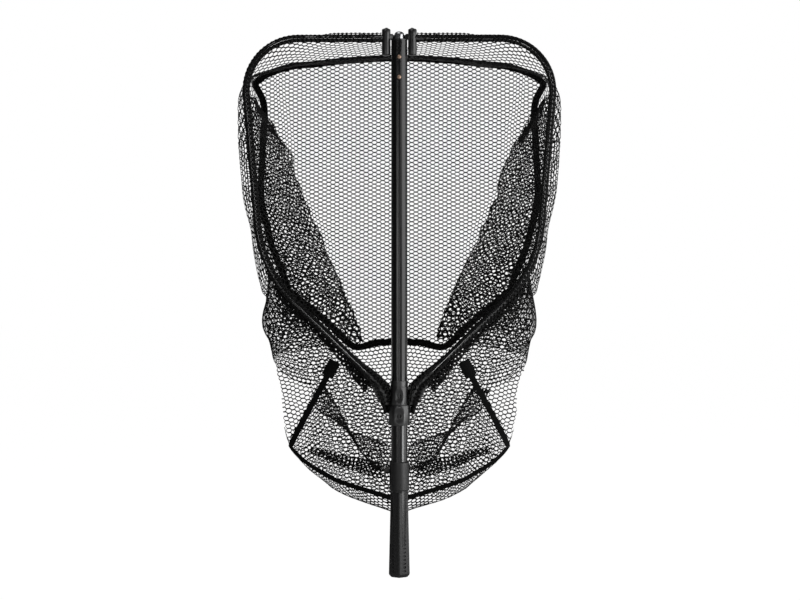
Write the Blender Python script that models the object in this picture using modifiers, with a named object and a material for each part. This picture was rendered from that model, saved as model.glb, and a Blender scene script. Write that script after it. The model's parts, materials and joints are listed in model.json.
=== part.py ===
"""A folding landing net: two half hoops hinge on a sliding head, with a deep mesh bag behind them.

Metres, +Z up the handle, the mouth of the net in the XZ plane, its open side towards -Y and the bag
behind it, towards +Y. The origin is the middle of the grip's flat butt. The handle is shown pushed in:
its tube runs up through the head to the far side of the hoop.
"""
import math

import bmesh
import bpy
from mathutils import Matrix, Vector

# Fits
CLEARANCE = 0.0003          # between two pieces that touch or slide
TURN_GAP = 0.0004           # between a knuckle and the ear beside it
BACK_GAP = 0.0001           # between the slanted rim of the bag's skin and the rear panel
SEAM_GAP = 0.0006           # between two panels of the bag where they lie flat to each other
BEND_SEAM_GAP = 0.0012      # between two panels where the skin turns

# Handle
TUBE_DIAMETER = 0.0315
TUBE_WALL = 0.0015
TUBE_BOTTOM_Z = 0.0120
TUBE_TOP_Z = 1.0448
TUBE_SIDES = 26
CAP_FLANGE = 0.0030
CAP_PLUG_LENGTH = 0.0160
NOSE_DIAMETER = 0.0192
NOSE_HEIGHT = 0.0155
NOSE_DOME = 0.0060
STEM_DIAMETER = 0.0120
STEM_LENGTH = 0.0140
GRIP_LENGTH = 0.1660
GRIP_BUTT_WIDTH = 0.0410
GRIP_NECK_WIDTH = 0.0335
GRIP_BUTT_DEPTH = 0.0430
GRIP_NECK_DEPTH = 0.0390
GRIP_SIDE_FLAT = 0.0110
GRIP_CHAMFER = 0.0055
GRIP_EDGE_ROUND = 0.0020
SLOT_COUNT = 18
SLOT_PITCH = 0.0073
SLOT_FIRST_Z = 0.0130
SLOT_WIDTH = 0.0092
SLOT_HEIGHT_BUTT = 0.0048
SLOT_HEIGHT_NECK = 0.0024
SLOT_DEPTH = 0.0012
PLUG_LENGTH = 0.0180
COLLAR_DIAMETER = 0.0386
COLLAR_LENGTH = 0.0575
COLLAR_STEP = 0.0012
COLLAR_STEP_HEIGHT = 0.0030
COLLAR_CHAMFER = 0.0015
CLIP_HEIGHT = 0.0350
CLIP_REACH = 0.0100
CLIP_WIDTH = 0.0090
CLIP_THICKNESS = 0.0026
CLIP_FOOT = 0.0100
CLIP_BELOW_TOP = 0.0100
SCREW_HEAD_RADIUS = 0.0026
SCREW_HEAD_HEIGHT = 0.0013
SCREW_RADIUS = 0.0014
CLIP_SCREW_BITE = 0.0020

# Snap buttons
BUTTON_SPACING = 0.0392
BUTTON_DIAMETER = 0.0076
UPPER_BUTTON_BELOW_TOP = 0.0326
BUTTON_PROUD = 0.0032
BUTTON_DOME = 0.0016
BUTTON_TRAVEL = 0.0030
BUTTON_FLANGE_DIAMETER = 0.0104
BUTTON_FLANGE = 0.0012
SPRING_WIDTH = 0.0080
SPRING_THICKNESS = 0.0008
SPRING_BELOW = 0.0220
SPRING_ABOVE = 0.0080

# Head: the yoke that slides on the tube
YOKE_JOINT_Z = 0.3352
YOKE_UPPER_HEIGHT = 0.0358
YOKE_LOWER_HEIGHT = 0.0388
YOKE_HALF_WIDTH = 0.0181
YOKE_FRONT = 0.0215
YOKE_LOWER_HALF_WIDTH = 0.0208
YOKE_LOWER_FRONT = 0.0228
YOKE_SIDES = 32
DISH_SEGMENTS = 22
RING_HEIGHT = 0.0105
RING_RADIUS = 0.0171
GROOVE_HEIGHT = 0.0010
SPIGOT_LENGTH = 0.0050
SPIGOT_WALL = 0.0012
DISH_RADIUS = 0.0150
DISH_DEPTH = 0.0036
DISH_HOLE_DIAMETER = 0.0086
UPPER_DISH_BELOW_TOP = 0.0174
EAR_THICKNESS = 0.0050
EAR_RADIUS = 0.0068
EAR_SIDES = 16
EAR_ABOVE_JOINT = 0.0008
EAR_BELOW_TOP = 0.0005

# Hinges of the two half hoops
HINGE_X = 0.0250
PIN_RADIUS = 0.0020
PIN_HEAD_RADIUS = 0.0034
PIN_HEAD_HEIGHT = 0.0014
BARREL_RADIUS = 0.0064
BARREL_SIDES = 16
KNUCKLE_HALF_THICKNESS = 0.0060
SOCKET_RADIUS = 0.0082
SOCKET_SIDES = 20
ARM_SOCKET_START = 0.0170
ARM_SOCKET_END = 0.0560
ARM_TUBE_START = 0.0220
ARM_RIVET_AT = 0.0470
TOP_SOCKET_START = 0.0125
TOP_SOCKET_END = 0.0340
TOP_TUBE_START = 0.0150
TOP_RIVET_AT = 0.0270
RIVET_RADIUS = 0.0014
RIVET_HEAD_RADIUS = 0.0026
RIVET_HEAD_HEIGHT = 0.0011
ARM_MEETS_HINGE = 0.0263    # height above the yoke's joint line
BRIDGE_HEIGHT = 0.0100
BRIDGE_BAR = 0.0050
BRIDGE_BEHIND_NOSE = 0.0008
UPPER_BARREL_HEIGHT = 0.0105
LOWER_BARREL_HEIGHT = 0.0262
HOOP_ABOVE_RIM = 0.0020

# Hoop
HOOP_TUBE_DIAMETER = 0.0115
HOOP_TUBE_WALL = 0.0014
HOOP_SHOULDER_HALF = 0.3079  # half the width where the top and the side lines cross
HOOP_WAIST_HALF = 0.2697     # half the width where the side and the arm lines cross
HOOP_WAIST_Z = 0.5996
CORNER_RADIUS = 0.1020
BEND_RADIUS = 0.2400
CORNER_STEPS = 8
BEND_STEPS = 5
HEM_THICKNESS = 0.0017

# Bag
BAG_DEPTH = 0.3000
TAPE_B_DEPTH = 0.1000
STATION_SPACING = 0.0900     # typical distance between two stations round the bag
LOWEST_DEPTH = 0.1800
MESH_THICKNESS = 0.0024
MOUTH_GAP = 0.0005
TAPE_WIDTH = 0.0118
TAPE_THICKNESS = 0.0014
TAPE_STANDOFF = 0.0012
PATCH_WIDTH = 0.0240

# Openings that stand for the netting's holes
OPENING_BAR = 0.0120         # between two openings
REAR_OPENINGS_ACROSS = 8
REAR_OPENINGS_WIDTH = 0.5660
REAR_MARGIN = 0.0080

# Folds of netting inside the bag, right half: the inner edges as (x, z), the depths they hang at
FOLD_DEPTH = 0.1850
FOLD_TURN = 0.0070           # half the distance between a fold's two layers at its edge
FOLD_LEAVES = 0.0150         # how far it runs straight off the skin
FOLD_LOW_GAP = 0.0018          # its gap to the skin where it passes the side seam
FOLD_FIRST_STATION = 4
FOLD_TIPS = (
    (0.288, 0.925), (0.262, 0.885), (0.247, 0.848), (0.226, 0.800), (0.205, 0.750), (0.185, 0.703),
    (0.167, 0.661), (0.150, 0.622), (0.137, 0.593), (0.125, 0.566), (0.112, 0.536),
    (0.0945, 0.505), (0.080, 0.454))
DRAPE_DEPTH = 0.1500
DRAPE_FIRST_STATION = 11.0
DRAPE_LAST_STATION = 12.8
DRAPE_RING = 0.5
DRAPE_EDGE = (
    (0.157, 0.373), (0.1205, 0.312), (0.096, 0.263), (0.074, 0.225), (0.0473, 0.198), (0.0148, 0.192))

# Where the bag's skin stands off the hoop, as (outward in x, up in z), at each station round it.
# The stations run from the slit at the top, over the corner, down the side and the arm, to the middle
# below the yoke. Front is the line of the lower binding, low is the fullest line, back is the rear panel.
FRONT_OFFSETS = (
    (-0.008, -0.026), (0.000, -0.031), (0.006, -0.020), (0.014, 0.004), (0.022, -0.002),
    (0.030, 0.000), (0.030, -0.009), (0.017, -0.030), (0.010, -0.046), (0.056, -0.067),
    (0.104, -0.114), (0.108, -0.188), (0.069, -0.215), (0.000, -0.228))
LOW_OFFSETS = (
    (-0.015, -0.014), (0.000, -0.020), (0.006, -0.017), (0.018, -0.006), (0.021, -0.009),
    (0.027, -0.006), (0.027, -0.013), (0.006, -0.038), (0.024, -0.070), (0.038, -0.084),
    (0.036, -0.102), (0.056, -0.150), (0.056, -0.204), (0.000, -0.232))
BACK_OFFSETS = (
    (-0.0235, 0.009), (0.000, 0.0026), (0.008, -0.007), (0.036, -0.008), (-0.001, 0.020),
    (0.008, 0.007), (0.017, 0.000), (0.004, -0.015), (-0.007, -0.020), (0.028, 0.016),
    (0.020, 0.019), (-0.017, -0.010), (-0.029, 0.042), (0.000, 0.083))
TOP_FRONT_DEPTHS = (0.0550, 0.0550, 0.0620, 0.0820)     # the front line comes forward along the top
ARM_STATIONS = (0.39, 0.52, 0.80)
SIDE_STATIONS = (0.35, 0.75)
TOP_PANEL_END = 5
SIDE_PANEL_END = 9
TAPE_STATION = 11
LAST_STATION = 13
MIDDLE_RISE = 0.0060
MIDDLE_STANDOFF = 0.0060
PATCH_TOP = 0.12
PATCH_BOTTOM = 0.25
TAPE_START = 0.30

# Sizes that follow from those above
TUBE_RADIUS = TUBE_DIAMETER / 2
TUBE_BORE = TUBE_RADIUS - TUBE_WALL
SLIDE_BORE = TUBE_RADIUS + CLEARANCE
CAP_BOTTOM_Z = TUBE_TOP_Z + CLEARANCE
CAP_TOP_Z = CAP_BOTTOM_Z + CAP_FLANGE
NOSE_RADIUS = NOSE_DIAMETER / 2
NOSE_BOTTOM_Z = CAP_TOP_Z + CLEARANCE
STEM_RADIUS = STEM_DIAMETER / 2
COLLAR_RADIUS = COLLAR_DIAMETER / 2
COLLAR_BOTTOM_Z = GRIP_LENGTH + 0.0016
COLLAR_TOP_Z = COLLAR_BOTTOM_Z + COLLAR_LENGTH
BRIDGE_BOTTOM_Z = CAP_TOP_Z + CLEARANCE
BRIDGE_TOP_Z = BRIDGE_BOTTOM_Z + BRIDGE_HEIGHT
HOOP_TOP_Z = CAP_TOP_Z + HOOP_ABOVE_RIM
HOOP_RADIUS = HOOP_TUBE_DIAMETER / 2
HEM_INNER = HOOP_RADIUS + CLEARANCE
HEM_RADIUS = HEM_INNER + HEM_THICKNESS
YOKE_TOP_Z = YOKE_JOINT_Z + YOKE_UPPER_HEIGHT
YOKE_LOWER_TOP_Z = YOKE_JOINT_Z - CLEARANCE
YOKE_BOTTOM_Z = YOKE_LOWER_TOP_Z - YOKE_LOWER_HEIGHT
RING_BOTTOM_Z = YOKE_TOP_Z + GROOVE_HEIGHT
UPPER_DISH_Z = YOKE_TOP_Z - UPPER_DISH_BELOW_TOP
LOWER_DISH_Z = UPPER_DISH_Z - BUTTON_SPACING
DISH_SPHERE = (DISH_RADIUS ** 2 + DISH_DEPTH ** 2) / (2 * DISH_DEPTH)
SPIGOT_RADIUS = SLIDE_BORE + SPIGOT_WALL
UPPER_BUTTON_Z = TUBE_TOP_Z - UPPER_BUTTON_BELOW_TOP
LOWER_BUTTON_Z = UPPER_BUTTON_Z - BUTTON_SPACING
BUTTON_RADIUS = BUTTON_DIAMETER / 2
BUTTON_FLANGE_RADIUS = BUTTON_FLANGE_DIAMETER / 2
FLANGE_Y = math.sqrt(TUBE_BORE ** 2 - BUTTON_FLANGE_RADIUS ** 2) - CLEARANCE
ARM_HINGE_Z = YOKE_JOINT_Z + ARM_MEETS_HINGE
LOWER_EAR_Z = YOKE_JOINT_Z + EAR_ABOVE_JOINT
UPPER_EAR_Z = YOKE_TOP_Z - EAR_BELOW_TOP - EAR_THICKNESS
KNUCKLE_BOTTOM_Z = LOWER_EAR_Z + EAR_THICKNESS + TURN_GAP
KNUCKLE_TOP_Z = UPPER_EAR_Z - TURN_GAP
ARM_ANGLE = math.atan2(HOOP_WAIST_Z - ARM_HINGE_Z, HOOP_WAIST_HALF - HINGE_X)
HEM_START = TOP_SOCKET_END + 0.0015
HEM_END = ARM_SOCKET_END + 0.0015
MOUTH_DEPTH = HEM_RADIUS + MOUTH_GAP
RIVET_DEPTH = SOCKET_RADIUS + CLEARANCE + RIVET_HEAD_HEIGHT
BACK_PANEL_Y = BAG_DEPTH + MESH_THICKNESS / 2 + BACK_GAP

LEFT, RIGHT = -1, 1


# Materials

def material(name, colour, roughness, metallic=0.0):
    """A plain finish with a base colour, a roughness and a metallic value."""
    finish = bpy.data.materials.new(name)
    finish.use_nodes = True
    shader = finish.node_tree.nodes["Principled BSDF"]
    shader.inputs["Base Color"].default_value = (*colour, 1.0)
    shader.inputs["Roughness"].default_value = roughness
    shader.inputs["Metallic"].default_value = metallic
    return finish


def make_materials():
    """The finishes of the net, by name."""
    return {
        "black_anodised": material("black_anodised", (0.012, 0.012, 0.013), 0.32, 0.9),
        "bright_aluminium": material("bright_aluminium", (0.80, 0.80, 0.81), 0.18, 1.0),
        "moulded_nylon": material("moulded_nylon", (0.014, 0.014, 0.015), 0.45),
        "grip_rubber": material("grip_rubber", (0.016, 0.016, 0.017), 0.62),
        "brass": material("brass", (0.55, 0.34, 0.18), 0.25, 1.0),
        "spring_steel": material("spring_steel", (0.45, 0.45, 0.46), 0.35, 1.0),
        "coated_mesh": material("coated_mesh", (0.010, 0.010, 0.010), 0.55),
        "binding_tape": material("binding_tape", (0.008, 0.008, 0.008), 0.80),
    }


# Building blocks

def add_object(name, mesh, collection, finish=None):
    """Put a mesh in the scene as an object in one collection."""
    thing = bpy.data.objects.new(name, mesh)
    collection.objects.link(thing)
    if finish is not None:
        mesh.materials.clear()
        mesh.materials.append(finish)
    return thing


def smooth(thing, angle=35):
    """Shade a piece smooth except over edges sharper than the angle, in degrees."""
    thing.data.shade_smooth()
    thing.data.set_sharp_from_angle(angle=math.radians(angle))


def bore_radius(radius, sides, gap=CLEARANCE):
    """Radius of a many-sided hole whose flats clear a round of the given radius."""
    return (radius + gap) / math.cos(math.pi / sides)


def turned(name, profile, sides, collection, finish=None, place=None):
    """Turn a closed profile of (radius, height) points round Z, top to bottom down its outer side."""
    shape = bmesh.new()
    ring = [shape.verts.new((radius, 0.0, height)) for radius, height in profile]
    for start, end in zip(ring, ring[1:] + ring[:1]):
        on_axis = start.co.x < 1e-6 and end.co.x < 1e-6
        if not on_axis:
            shape.edges.new((start, end))
    mesh = bpy.data.meshes.new(name)
    shape.to_mesh(mesh)
    shape.free()
    thing = add_object(name, mesh, collection, finish)
    screw = thing.modifiers.new("turn", "SCREW")
    screw.axis = "Z"
    screw.steps = sides
    screw.render_steps = sides
    screw.use_merge_vertices = True
    screw.merge_threshold = 0.00001
    screw.use_smooth_shade = True
    if place is not None:
        thing.matrix_world = place
    return thing


def plate(name, outline, low, high, collection, finish=None, upright=False, holes=()):
    """A flat outline given a thickness: in XY from z=low to high, or upright in XZ from y=low to high."""
    curve = bpy.data.curves.new(name, "CURVE")
    curve.dimensions = "2D"
    curve.fill_mode = "BOTH"
    curve.extrude = (high - low) / 2
    for loop in (outline, *holes):
        spline = curve.splines.new("POLY")
        spline.points.add(len(loop) - 1)
        for point, (across, along) in zip(spline.points, loop):
            point.co = (across, along, 0.0, 1.0)
        spline.use_cyclic_u = True
    thing = bpy.data.objects.new(name, curve)
    collection.objects.link(thing)
    middle = (low + high) / 2
    if upright:
        thing.matrix_world = Matrix.Translation((0, middle, 0)) @ Matrix.Rotation(math.pi / 2, 4, "X")
    else:
        thing.matrix_world = Matrix.Translation((0, 0, middle))
    return as_mesh(thing, collection, finish)


def tube_along(name, points, radius, collection, finish=None, resolution=3):
    """A round bar along a line of points, as a welded mesh."""
    curve = bpy.data.curves.new(name, "CURVE")
    curve.dimensions = "3D"
    curve.bevel_depth = radius
    curve.bevel_resolution = resolution
    curve.use_fill_caps = True
    spline = curve.splines.new("POLY")
    spline.points.add(len(points) - 1)
    for point, place in zip(spline.points, points):
        point.co = (*place, 1.0)
    thing = bpy.data.objects.new(name, curve)
    collection.objects.link(thing)
    return as_mesh(thing, collection, finish)


def as_mesh(curve_object, collection, finish=None):
    """Turn a curve object into a welded mesh object in its place."""
    bpy.context.view_layer.update()
    name = curve_object.name
    shown = curve_object.evaluated_get(bpy.context.evaluated_depsgraph_get())
    mesh = bpy.data.meshes.new_from_object(shown)
    shape = bmesh.new()
    shape.from_mesh(mesh)
    bmesh.ops.remove_doubles(shape, verts=shape.verts, dist=0.00001)
    bmesh.ops.recalc_face_normals(shape, faces=shape.faces)
    shape.to_mesh(mesh)
    shape.free()
    place = curve_object.matrix_world.copy()
    curve = curve_object.data
    bpy.data.objects.remove(curve_object)
    bpy.data.curves.remove(curve)
    mesh.name = name
    thing = add_object(name, mesh, collection, finish)
    thing.matrix_world = place
    return thing


def rod(name, start, end, radius, sides, collection, finish=None):
    """A plain cylinder between two points."""
    start, end = Vector(start), Vector(end)
    shape = bmesh.new()
    bmesh.ops.create_cone(shape, cap_ends=True, segments=sides, radius1=radius, radius2=radius,
                          depth=(end - start).length)
    turn = Vector((0, 0, 1)).rotation_difference(end - start).to_matrix().to_4x4()
    shape.transform(Matrix.Translation((start + end) / 2) @ turn)
    mesh = bpy.data.meshes.new(name)
    shape.to_mesh(mesh)
    shape.free()
    return add_object(name, mesh, collection, finish)


def combine(thing, other, operation, cutters):
    """Join another shape to a piece, or cut it out, and put that shape away with the cutters."""
    for old in list(other.users_collection):
        old.objects.unlink(other)
    cutters.objects.link(other)
    other.hide_render = True
    other.display_type = "WIRE"
    step = thing.modifiers.new(operation.lower(), "BOOLEAN")
    step.operation = operation
    step.solver = "EXACT"
    step.object = other
    return thing


def turn_about(axis_empty, *pieces):
    """Parent pieces to the empty that marks their joint's axis, without moving them."""
    bpy.context.view_layer.update()
    for piece in pieces:
        piece.parent = axis_empty
        piece.matrix_parent_inverse = axis_empty.matrix_world.inverted()


def axis_marker(name, place, collection):
    """An empty on the axis of a joint."""
    marker = bpy.data.objects.new(name, None)
    marker.empty_display_size = 0.03
    marker.location = place
    collection.objects.link(marker)
    return marker


# Handle

def tube_profile(outer, inner, bottom, top):
    """Profile of a plain ring."""
    return [(outer, top), (outer, bottom), (inner, bottom), (inner, top)]


def handle_tube(parts, cutters, finishes):
    """The anodised tube, with two holes for the snap buttons in its front wall."""
    tube = turned("handle_tube", tube_profile(TUBE_RADIUS, TUBE_BORE, TUBE_BOTTOM_Z, TUBE_TOP_Z),
                  TUBE_SIDES, parts, finishes["black_anodised"])
    for height in (UPPER_BUTTON_Z, LOWER_BUTTON_Z):
        hole = rod("button_hole", (0, -TUBE_RADIUS - 0.002, height), (0, -TUBE_BORE / 2, height),
                   bore_radius(BUTTON_RADIUS, 16), 16, cutters)
        combine(tube, hole, "DIFFERENCE", cutters)
    return tube


def tube_cap(parts, finishes):
    """The plastic stopper in the far end of the tube, whose flange is what the bridge rests on."""
    plug = TUBE_BORE - CLEARANCE
    hole = STEM_RADIUS + CLEARANCE
    profile = [(TUBE_RADIUS - 0.0006, CAP_TOP_Z), (TUBE_RADIUS, CAP_TOP_Z - 0.0006),
               (TUBE_RADIUS, CAP_BOTTOM_Z), (plug, CAP_BOTTOM_Z),
               (plug, CAP_BOTTOM_Z - CAP_PLUG_LENGTH), (hole, CAP_BOTTOM_Z - CAP_PLUG_LENGTH),
               (hole, CAP_TOP_Z)]
    return turned("tube_cap", profile, TUBE_SIDES, parts, finishes["moulded_nylon"])


def nose_plug(parts, finishes):
    """The bright rounded nose pressed into the stopper."""
    shoulder = NOSE_BOTTOM_Z + NOSE_HEIGHT - NOSE_DOME
    profile = []
    for step in range(6):
        turn = math.pi / 2 * (1 - step / 5)
        profile.append((NOSE_RADIUS * math.cos(turn), shoulder + NOSE_DOME * math.sin(turn)))
    profile[0] = (0.0, NOSE_BOTTOM_Z + NOSE_HEIGHT)
    profile += [(NOSE_RADIUS, NOSE_BOTTOM_Z), (STEM_RADIUS, NOSE_BOTTOM_Z),
                (STEM_RADIUS, NOSE_BOTTOM_Z - STEM_LENGTH), (0.0, NOSE_BOTTOM_Z - STEM_LENGTH)]
    return turned("nose_plug", profile, 20, parts, finishes["bright_aluminium"])


def grip_section(height):
    """The six corners of the grip's section at a height: a ridge at front and back, narrow sides."""
    share = min(max(height / GRIP_LENGTH, 0.0), 1.0)
    half_width = (GRIP_BUTT_WIDTH + (GRIP_NECK_WIDTH - GRIP_BUTT_WIDTH) * share) / 2
    half_depth = (GRIP_BUTT_DEPTH + (GRIP_NECK_DEPTH - GRIP_BUTT_DEPTH) * share) / 2
    flat = GRIP_SIDE_FLAT / 2
    return [(0.0, -half_depth), (half_width, -flat), (half_width, flat),
            (0.0, half_depth), (-half_width, flat), (-half_width, -flat)]


def grip(parts, cutters, finishes):
    """The moulded grip: a tapered six-sided body, bored for the tube, with a row of slots per face."""
    shape = bmesh.new()
    rings = []
    for height, inset in ((0.0, GRIP_CHAMFER), (GRIP_CHAMFER, 0.0), (GRIP_LENGTH, 0.0)):
        ring = []
        for across, depth in grip_section(height):
            reach = math.hypot(across, depth)
            share = (reach - inset) / reach
            ring.append(shape.verts.new((across * share, depth * share, height)))
        rings.append(ring)
    for lower, upper in zip(rings, rings[1:]):
        for index in range(6):
            after = (index + 1) % 6
            shape.faces.new((lower[index], lower[after], upper[after], upper[index]))
    shape.faces.new(list(reversed(rings[0])))
    shape.faces.new(rings[-1])
    bmesh.ops.recalc_face_normals(shape, faces=shape.faces)
    mesh = bpy.data.meshes.new("grip")
    shape.to_mesh(mesh)
    shape.free()
    body = add_object("grip", mesh, parts, finishes["grip_rubber"])
    rounding = body.modifiers.new("edges", "BEVEL")
    rounding.width = GRIP_EDGE_ROUND
    rounding.segments = 2
    rounding.limit_method = "ANGLE"
    rounding.angle_limit = math.radians(20)
    socket = rod("grip_bore", (0, 0, TUBE_BOTTOM_Z - CLEARANCE), (0, 0, GRIP_LENGTH + 0.01),
                 bore_radius(TUBE_RADIUS, TUBE_SIDES), TUBE_SIDES, cutters)
    combine(body, socket, "DIFFERENCE", cutters)
    combine(body, grip_slots(cutters), "DIFFERENCE", cutters)
    return body


def grip_slots(cutters):
    """The cutter for the slots: rounded bars laid into the middle of each of the four wide faces."""
    shape = bmesh.new()
    for index in range(SLOT_COUNT):
        height = SLOT_FIRST_Z + index * SLOT_PITCH
        share = index / max(SLOT_COUNT - 1, 1)
        tall = SLOT_HEIGHT_BUTT + (SLOT_HEIGHT_NECK - SLOT_HEIGHT_BUTT) * share
        section = [Vector(corner) for corner in grip_section(height)]
        for first, second in ((0, 1), (2, 3), (3, 4), (5, 0)):
            middle = (section[first] + section[second]) / 2
            along = (section[second] - section[first]).normalized()
            outward = Vector((along.y, -along.x))
            add_slot(shape, middle, along, outward, height, tall)
    bmesh.ops.recalc_face_normals(shape, faces=shape.faces)
    mesh = bpy.data.meshes.new("grip_slots")
    shape.to_mesh(mesh)
    shape.free()
    return add_object("grip_slots", mesh, cutters)


def add_slot(shape, middle, along, outward, height, tall):
    """Add one slot's closed bar with pointed ends to the cutter."""
    half, rise = SLOT_WIDTH / 2, tall / 2
    outline = [(-half, 0), (-half + rise, -rise), (half - rise, -rise),
               (half, 0), (half - rise, rise), (-half + rise, rise)]
    loops = []
    for push in (-SLOT_DEPTH, 0.004):
        loops.append([shape.verts.new((*(middle + along * across + outward * push), height + up))
                      for across, up in outline])
    inner, outer = loops
    shape.faces.new(inner)
    shape.faces.new(outer)
    for index in range(len(outline)):
        after = (index + 1) % len(outline)
        shape.faces.new((inner[index], inner[after], outer[after], outer[index]))


def tube_plug(parts, finishes):
    """The stopper in the tube's lower end, inside the grip."""
    plug = TUBE_BORE - CLEARANCE
    bottom = TUBE_BOTTOM_Z + CLEARANCE
    profile = [(0.0, bottom + PLUG_LENGTH), (plug, bottom + PLUG_LENGTH), (plug, bottom), (0.0, bottom)]
    return turned("tube_plug", profile, TUBE_SIDES, parts, finishes["moulded_nylon"])


def collar(parts, cutters, finishes):
    """The sleeve above the grip, with a small step at its lower end."""
    bore = bore_radius(TUBE_RADIUS, TUBE_SIDES)
    step_z = COLLAR_BOTTOM_Z + COLLAR_STEP_HEIGHT
    profile = [(COLLAR_RADIUS - COLLAR_CHAMFER, COLLAR_TOP_Z), (COLLAR_RADIUS, COLLAR_TOP_Z - COLLAR_CHAMFER),
               (COLLAR_RADIUS, step_z), (COLLAR_RADIUS - COLLAR_STEP, step_z),
               (COLLAR_RADIUS - COLLAR_STEP, COLLAR_BOTTOM_Z), (bore, COLLAR_BOTTOM_Z), (bore, COLLAR_TOP_Z)]
    sleeve = turned("collar", profile, TUBE_SIDES, parts, finishes["grip_rubber"])
    height = clip_screw_height()
    pocket = rod("clip_screw_pocket", (-COLLAR_RADIUS - 0.002, 0, height),
                 (-COLLAR_RADIUS + CLIP_SCREW_BITE + CLEARANCE, 0, height),
                 bore_radius(SCREW_RADIUS, 12), 12, cutters)
    combine(sleeve, pocket, "DIFFERENCE", cutters)
    return sleeve


def clip_screw_height():
    """Height of the screw that holds the clip's foot to the collar."""
    return COLLAR_TOP_Z - CLIP_BELOW_TOP - CLIP_FOOT / 2


def belt_clip(parts, cutters, finishes):
    """The spring clip on the collar's left side: a foot at the top and a finger that hangs down."""
    near = -COLLAR_RADIUS - CLEARANCE
    far = near - CLIP_REACH
    top = COLLAR_TOP_Z - CLIP_BELOW_TOP
    bottom = top - CLIP_HEIGHT
    inner = far + CLIP_THICKNESS
    outline = [(near, top), (near, top - CLIP_FOOT), (inner, top - CLIP_FOOT), (inner, bottom + 0.007),
               (inner + 0.002, bottom + 0.003), (inner + 0.001, bottom), (inner - 0.001, bottom),
               (far, bottom + 0.006), (far, top - 0.005), (far + 0.004, top)]
    clip = plate("belt_clip", outline, -CLIP_WIDTH / 2, CLIP_WIDTH / 2, parts, finishes["moulded_nylon"],
                 upright=True)
    height = clip_screw_height()
    hole = rod("clip_hole", (far - 0.002, 0, height), (near + 0.002, 0, height),
               bore_radius(SCREW_RADIUS, 12), 12, cutters)
    return combine(clip, hole, "DIFFERENCE", cutters)


def clip_screw(parts, finishes):
    """The screw through the clip's foot into the collar."""
    head_y = COLLAR_RADIUS + CLIP_REACH + 2 * CLEARANCE
    tip = COLLAR_RADIUS - CLIP_SCREW_BITE
    profile = [(0.0, head_y + SCREW_HEAD_HEIGHT), (SCREW_HEAD_RADIUS * 0.7, head_y + SCREW_HEAD_HEIGHT),
               (SCREW_HEAD_RADIUS, head_y), (SCREW_RADIUS, head_y), (SCREW_RADIUS, tip), (0.0, tip)]
    place = Matrix.Translation((0, 0, clip_screw_height())) @ Matrix.Rotation(-math.pi / 2, 4, "Y")
    return turned("clip_screw", profile, 12, parts, finishes["spring_steel"], place)


# Snap buttons

def snap_button(name, height, parts, finishes):
    """A domed button that stands out of the tube's front, with a flange that holds it in."""
    tip = TUBE_RADIUS + BUTTON_PROUD
    profile = [(0.0, tip), (BUTTON_RADIUS * 0.55, tip - BUTTON_DOME * 0.2),
               (BUTTON_RADIUS * 0.88, tip - BUTTON_DOME * 0.6), (BUTTON_RADIUS, tip - BUTTON_DOME),
               (BUTTON_RADIUS, FLANGE_Y), (BUTTON_FLANGE_RADIUS, FLANGE_Y),
               (BUTTON_FLANGE_RADIUS, FLANGE_Y - BUTTON_FLANGE), (0.0, FLANGE_Y - BUTTON_FLANGE)]
    place = Matrix.Translation((0, 0, height)) @ Matrix.Rotation(math.pi / 2, 4, "X")
    return turned(name, profile, 16, parts, finishes["brass"], place)


def button_spring(parts, finishes):
    """The leaf spring inside the tube: its front arm pushes both buttons, its back arm bears on the wall."""
    front = -(FLANGE_Y - BUTTON_FLANGE - CLEARANCE - SPRING_THICKNESS / 2)
    back = math.sqrt(TUBE_BORE ** 2 - (SPRING_WIDTH / 2) ** 2) - CLEARANCE - SPRING_THICKNESS / 2
    low = LOWER_BUTTON_Z - SPRING_BELOW
    high = UPPER_BUTTON_Z + SPRING_ABOVE
    middle, reach = (front + back) / 2, (back - front) / 2
    path = [Vector((front, high)), Vector((front, low))]
    for step in range(1, 8):
        turn = math.pi * step / 8
        path.append(Vector((middle - reach * math.cos(turn), low - reach * 0.5 * math.sin(turn))))
    path += [Vector((back, low)), Vector((back, low + 0.6 * (high - low)))]
    inner, outer = [], []
    for index, point in enumerate(path):
        before = path[max(index - 1, 0)]
        after = path[min(index + 1, len(path) - 1)]
        along = (after - before).normalized()
        side = Vector((-along.y, along.x)) * SPRING_THICKNESS / 2
        inner.append(point + side)
        outer.append(point - side)
    outline = [tuple(point) for point in inner] + [tuple(point) for point in reversed(outer)]
    spring = plate("button_spring", outline, -SPRING_WIDTH / 2, SPRING_WIDTH / 2, parts,
                   finishes["spring_steel"])
    turn = Matrix(((0, 0, 1, 0), (1, 0, 0, 0), (0, 1, 0, 0), (0, 0, 0, 1)))
    spring.data.transform(turn)
    spring.matrix_world = Matrix.Identity(4)
    return spring


# Yoke

def oval(half_width, front, sides):
    """A section round the tube: circular at the back, drawn out to the front."""
    points = []
    for step in range(sides):
        turn = 2 * math.pi * step / sides
        depth = half_width if math.sin(turn) > 0 else front
        points.append((half_width * math.cos(turn), depth * math.sin(turn)))
    return points


def ear_outline(side):
    """An ear from inside the yoke's wall out to its round end on the hinge axis."""
    points = []
    for step in range(EAR_SIDES // 2 + 1):
        turn = math.pi / 2 - math.pi * step / (EAR_SIDES // 2)
        points.append((side * (HINGE_X + EAR_RADIUS * math.cos(turn)), EAR_RADIUS * math.sin(turn)))
    root = SLIDE_BORE - 0.004
    return points + [(side * root, -EAR_RADIUS), (side * root, EAR_RADIUS)]


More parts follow.
